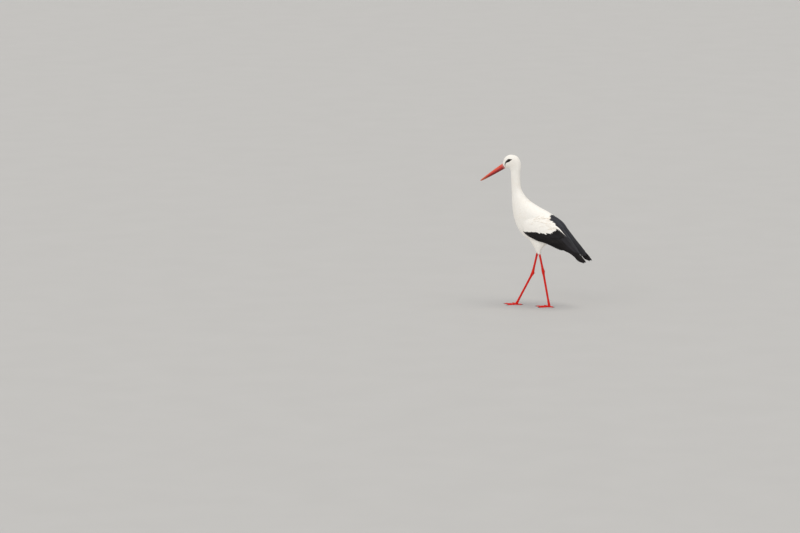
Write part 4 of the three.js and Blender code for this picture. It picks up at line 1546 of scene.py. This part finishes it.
def white_wing(name):
    """The small coverts over the folded arm, growing larger toward the shoulder feathers."""
    surface = wings[name]
    coat = Coat(surface)
    row, column = staggered(
        surface, wing_row(1), wing_row(212), step=lambda r: 0.26 * covert_length(r),
        pitch=lambda r: 0.5 * covert_width(r),
    )
    reach = 1.1 * covert_length(row) / surface.steps(row, column)[0]
    inside = row + reach < wing_row(border_along(wing_fall(column)))
    row, column = row[inside], column[inside]
    # The last feathers before the dark ones lie over their roots, their tips in an even line.
    spots = np.arange(1, WING_COLUMNS - 1, 0.9)
    tips = wing_row(border_along(wing_fall(spots))) + rng.uniform(-0.5, 0.5, len(spots))
    border = tips - 0.95 * covert_length(tips) / surface.steps(tips, spots)[0]
    last = np.concatenate([np.zeros(len(row)), np.ones(len(spots))])
    row, column = np.concatenate([row, border]), np.concatenate([column, spots])
    scatter(
        coat, row, column, covert_length, covert_width, blade, 3.4 - 1.2 * last, 0.2 + 0.6 * last,
        loose=0.2, stations=7, across=5, crown=0.0005,
    )
    coat.piece(f"coat_wing_{name}", "plumage", [f"wing_{name}_coverts"], WHITE, soften=0.8)


THIGH_RING_ROWS = (THIGH_ROWS - 1) / (len(THIGH_RINGS) - 1)
THIGH_STEP = 0.0056
THIGH_PITCH = 0.0030


def thigh_size(start, middle, end):
    """A size down the thigh, from its top, past its middle, to the cuff."""
    return size_along([0, 0.6, 1], [start, middle, end], lambda row: row / (THIGH_ROWS - 1))


def thigh_coat(name):
    """Loose narrow feathers down the thigh, ending in a ragged cuff over the bare leg."""
    surface = thighs[name]
    coat = Coat(surface)
    row, column = staggered(
        surface, 0.3 * THIGH_RING_ROWS, 5.35 * THIGH_RING_ROWS, step=lambda r: THIGH_STEP,
        pitch=lambda r: THIGH_PITCH,
    )
    scatter(
        coat, row, column, thigh_size(34, 30, 17), thigh_size(7, 5.5, 3.2), lance,
        thigh_size(3.4, 3, 2)(row) / MM, lengths=(0.8, 1.15), widths=(0.85, 1.2), astray=0.12,
        curl=0.2, stations=6, crown=0.0004,
    )
    coat.piece(f"coat_thigh_{name}", "plumage", [f"thigh_{name}"], WHITE, soften=0.8)


for name in LEGS:
    white_wing(name)
    thigh_coat(name)

TAIL_FEATHERS = 12
TAIL_WIDTH = 0.026
TAIL_STATIONS = 22


def tail_feathers():
    """Broad white feathers in a closed fan, over softer ones beneath the tail."""
    coat = Coat(body)
    for q in np.linspace(-1, 1, TAIL_FEATHERS):
        column = (q * 0.235 * BODY_COLUMNS) % BODY_COLUMNS
        end = at_section(20.15 - 0.25 * abs(q))
        level = -4.6 + 1.2 * (1 - abs(q))
        coat.lay(
            np.linspace(at_section(17.2), end, TAIL_STATIONS)[None],
            np.full((1, TAIL_STATIONS), column), TAIL_WIDTH, quill, diving(level, 3),
            across=9, crown=0.0009, thick=0.0007,
        )
    coat.piece("tail_feathers", "plumage", ["tail"], WHITE, soften=0, strips=TAIL_FEATHERS)


tail_feathers()


# ---- Dark flight feathers ----
VANE_THICK = 0.0006


def fold_row(
    coat, start, end, count, width, level,
    shape=quill, stray=3.0, dive=4.0, stations=24, slate=0.0,
):
    """A row of folded feathers. Their roots and their tips lie on two lines of (along, fall)."""
    share = (np.arange(count) + 0.5) / count
    ends = []
    for line, loose in ((start, 2.0), (end, stray)):
        spot = share * (len(line) - 1)
        along, fall = (np.interp(spot, np.arange(len(line)), values) for values in zip(*line))
        along = along + loose * rng.uniform(-1, 1, count)
        ends.append(np.stack([along, fall + 0.012 * rng.uniform(-1, 1, count)])[..., None])
    root, tip = ends
    along, fall = root + (tip - root) * stations_along(stations)
    lift = (level[0] + (level[1] - level[0]) * share)[:, None]
    coat.lay(
        wing_row(along), wing_column(fall), np.interp(share, [0, 1], width) * MM, shape,
        diving(lift, dive, 0.35), across=11, crown=0.0010, thick=VANE_THICK,
        ruffle=0.006, slate=slate,
    )


# The rows of dark feathers of one wing, from the lowest layer up: the lines of their roots and of
# their tips, how many, and in mm their widths and how high they lie, at the row's two ends.
FOLDED_ROWS = [
    # Outer flight feathers, inner flight feathers, and the rows of great coverts on them.
    ([(250, 0.85), (262, 0.06)], [(418, 1.02), (448, 0.7), (460, -0.05)], 9, (19, 23),
     (-5.5, -4.2), {"shape": pointed_quill}),
    ([(70, 1.0), (170, 0.05)], [(300, 1.0), (398, 0.12)], 14, (26, 32), (-4.6, -3.4), {}),
    ([(40, 0.97), (100, 0.6), (160, 0.05)], [(205, 1.02), (340, 0.1)], 12, (21, 26),
     (-3.2, -2.4), {}),
    ([(10, 0.98), (52, 0.75), (100, 0.63), (140, 0.54), (166, 0.43), (180, 0.18)],
     [(118, 0.98), (165, 0.82), (208, 0.64), (236, 0.46), (255, 0.28), (272, 0.06)],
     17, (15, 22), (-1.6, -1.0), {"stations": 20}),
    ([(8, 0.99), (22, 0.86)], [(92, 1.01), (116, 0.82)], 6, (8, 11), (-0.9, -0.6),
     {"stations": 16}),
    # The feathers that roof the back, in three rows, greyer with painted sheen.
    ([(178, 0.16), (180, -0.4), (185, -1.0)], [(376, 0.30), (402, -0.35), (416, -1.25)],
     10, (27, 34), (-1.6, -1.8), {"stray": 6.0, "slate": 0.35}),
    ([(134, -0.20), (138, -1.1)], [(270, -0.24), (292, -0.6), (312, -1.15)],
     8, (20, 28), (-0.8, -0.6), {"stray": 8.0, "slate": 0.75}),
    ([(110, -0.17), (104, -1.15)], [(204, -0.18), (210, -0.7), (218, -1.15)],
     9, (18, 22), (-0.4, 0.2), {"stray": 7.0, "dive": 4.6, "slate": 1.0}),
]


def dark_wing_feathers(name):
    """The flight feathers of one folded wing, and those that roof the back beside it."""
    coat = Coat(wings[name])
    for *row, special in FOLDED_ROWS:
        fold_row(coat, *row, **special)
    nodes = [f"wing_{name}_secondaries", f"wing_{name}_primaries"]
    coat.piece(f"flight_feathers_{name}", "flight_feather", nodes, DARK, soften=0, strips=8)


# Where each row starts, in sections of the body, and how far round from the top it reaches.
BACK_ROWS = [(14.28, 0.46), (14.55, 0.46), (14.85, 0.42), (15.2, 0.36), (15.6, 0.3)]
BACK_FEATHERS = 7


def back_feathers():
    """Dark feathers along the middle of the back, between the two wings' roofs."""
    coat = Coat(body)
    many = BACK_FEATHERS
    for start, half in BACK_ROWS:
        angle = np.linspace(-half, half, many)
        row = at_section(start) + rng.uniform(-1.2, 1.2, many)
        # These feathers are fully grey with painted sheen.
        coat.grow(
            row, angle / (2 * np.pi) * BODY_COLUMNS, rng.uniform(52, 60, many) * MM,
            rng.uniform(15, 18, many) * MM, rng.normal(0, 0.05, many), quill,
            diving(0.3, 4.6, 0.4), stations=20, across=9, crown=0.0008, thick=VANE_THICK,
            ruffle=0.006, slate=1.0,
        )
    coat.piece("back_feathers", "flight_feather", ["trunk"], DARK, soften=0, strips=many)


back_feathers()
for name in LEGS:
    dark_wing_feathers(name)

SHOULDER_FEATHERS = 64
SHOULDER_FROM, SHOULDER_TO = 34, 165
# The tips of the feathers along the crest, as (along, fall). The right wing has only the first.
CREST_POINT = [
    (206, 0.12), (214, 0.07), (222, 0.06), (232, 0.0), (243, -0.04), (256, -0.10), (270, -0.18),
]
CREST_TIPS = {"left": len(CREST_POINT), "right": 2}


def shoulder_feathers(name):
    """Long white feathers over the shoulder, and the few that lie along the crest to a point."""
    coat = Coat(wings[name])
    s = np.linspace(0, 1, 12)

    def lay_between(start, fall, end, end_fall, bend, width, height, **vane):
        coat.lay(
            wing_row(start[:, None] + (end - start)[:, None] * s),
            wing_column(fall[:, None] + (end_fall - fall)[:, None] * s**bend),
            width * MM, lance, height, across=5, crown=0.0009, **vane,
        )

    many = SHOULDER_FEATHERS
    span = [SHOULDER_FROM, SHOULDER_TO]
    start = np.sort(rng.uniform(*span, many))
    fall = rng.uniform(-0.9, 0.5, many) * np.interp(start, span, [1, 0.7])
    reach = np.interp(start, span, [28, 60])
    border = border_along(fall * 0.75) + rng.uniform(-6, 3, many)
    start = np.minimum(start, border - reach)
    tip = (1.3 + 0.4 * rng.standard_normal(many))[:, None]
    # The shoulder feathers take painted shade at their edges and tips.
    lay_between(
        start, fall, start + reach, fall * 0.75, 1, np.interp(start, [30, SHOULDER_TO], [14, 12]),
        lambda t: tip * MM * np.sin(np.pi / 2 * t) + diving(0, 5)(t), ruffle=0.04, slate=0.7,
    )
    end, end_fall = np.array(CREST_POINT[:CREST_TIPS[name]]).T
    few = len(end)
    lay_between(
        end - np.linspace(66, 84, few), np.linspace(0.20, 0.09, few), end, end_fall, 0.8,
        np.linspace(12, 8.5, few), diving(1.5, 5, power=2.6), ruffle=0.03,
    )
    coat.piece(f"shoulder_feathers_{name}", "plumage", [f"wing_{name}_coverts"], WHITE)


for name in LEGS:
    shoulder_feathers(name)


# ---- Floor, light and camera ----
VIEW_AZIMUTH = math.radians(112)
VIEW_HEIGHT = math.radians(8.8)
LENS = 200.0
FILM = 36.0
FRAME_WIDE = 800
FRAME_HIGH = 533
WIDE_AT_BIRD = 4.8
# Where the frame's origin is seen, in pixels from the top left of the view.
ORIGIN_AT = (536.76, 306.13)
LAMPS = [
    # name, where it shines from, power, how wide it looks in degrees, colour
    ("key", (0.2, 1.4, 4.2), 1.2, 40, (1.0, 0.96, 0.89)),
    ("fill", (3.4, -0.6, 1.8), 0.95, 60, (1.0, 0.985, 0.96)),
]
FLOOR_REACH = 90.0
ROOM_TINT = (0.95, 0.97, 1.0, 1)
ROOM_LIGHT = 0.60


def studio():
    r = FLOOR_REACH
    corners = [(-r, -r, 0), (r, -r, 0), (r, r, 0), (-r, r, 0)]
    floor = make_mesh("floor", corners, [(0, 1, 2, 3)], smooth=False)
    floor.materials.append(floor_finish())
    add_object("floor", floor)
    world = bpy.data.worlds.new("soft_room")
    world.use_nodes = True
    sky = world.node_tree.nodes["Background"]
    sky.inputs["Color"].default_value = ROOM_TINT
    sky.inputs["Strength"].default_value = ROOM_LIGHT
    bpy.context.scene.world = world
    bpy.context.scene.view_settings.view_transform = "Standard"


def lamp(name, place, power, spread, colour):
    """A broad soft light from far off, which falls evenly over the whole floor."""
    light = bpy.data.lights.new(name, "SUN")
    light.energy = power
    light.angle = math.radians(spread)
    light.color = colour
    holder = add_object(name, light)
    holder.location = place
    holder.rotation_euler = Vector(place).to_track_quat("Z", "Y").to_euler()


def camera():
    view = bpy.data.cameras.new("camera")
    view.lens = LENS
    view.sensor_width = FILM
    view.clip_end = 500
    holder = add_object("camera", view)
    a, e = VIEW_AZIMUTH, VIEW_HEIGHT
    ahead = Vector((-math.sin(a) * math.cos(e), math.cos(a) * math.cos(e), -math.sin(e)))
    level = Vector((math.cos(a), math.sin(a), 0))
    up = level.cross(ahead)
    distance = WIDE_AT_BIRD * LENS / FILM
    per_pixel = WIDE_AT_BIRD / FRAME_WIDE
    right = (ORIGIN_AT[0] - FRAME_WIDE / 2) * per_pixel
    below = (ORIGIN_AT[1] - FRAME_HIGH / 2) * per_pixel
    # The camera stands where it would for a bird in mid-view, and then turns until the origin is
    # seen at its place.
    turn = Matrix.Rotation(math.atan2(right, distance), 3, up)
    turn = turn @ Matrix.Rotation(math.atan2(below, distance), 3, level)
    holder.location = -ahead * distance
    holder.rotation_euler = (turn @ Matrix((level, up, -ahead)).transposed()).to_euler()
    bpy.context.scene.camera = holder


studio()
for each in LAMPS:
    lamp(*each)
camera()
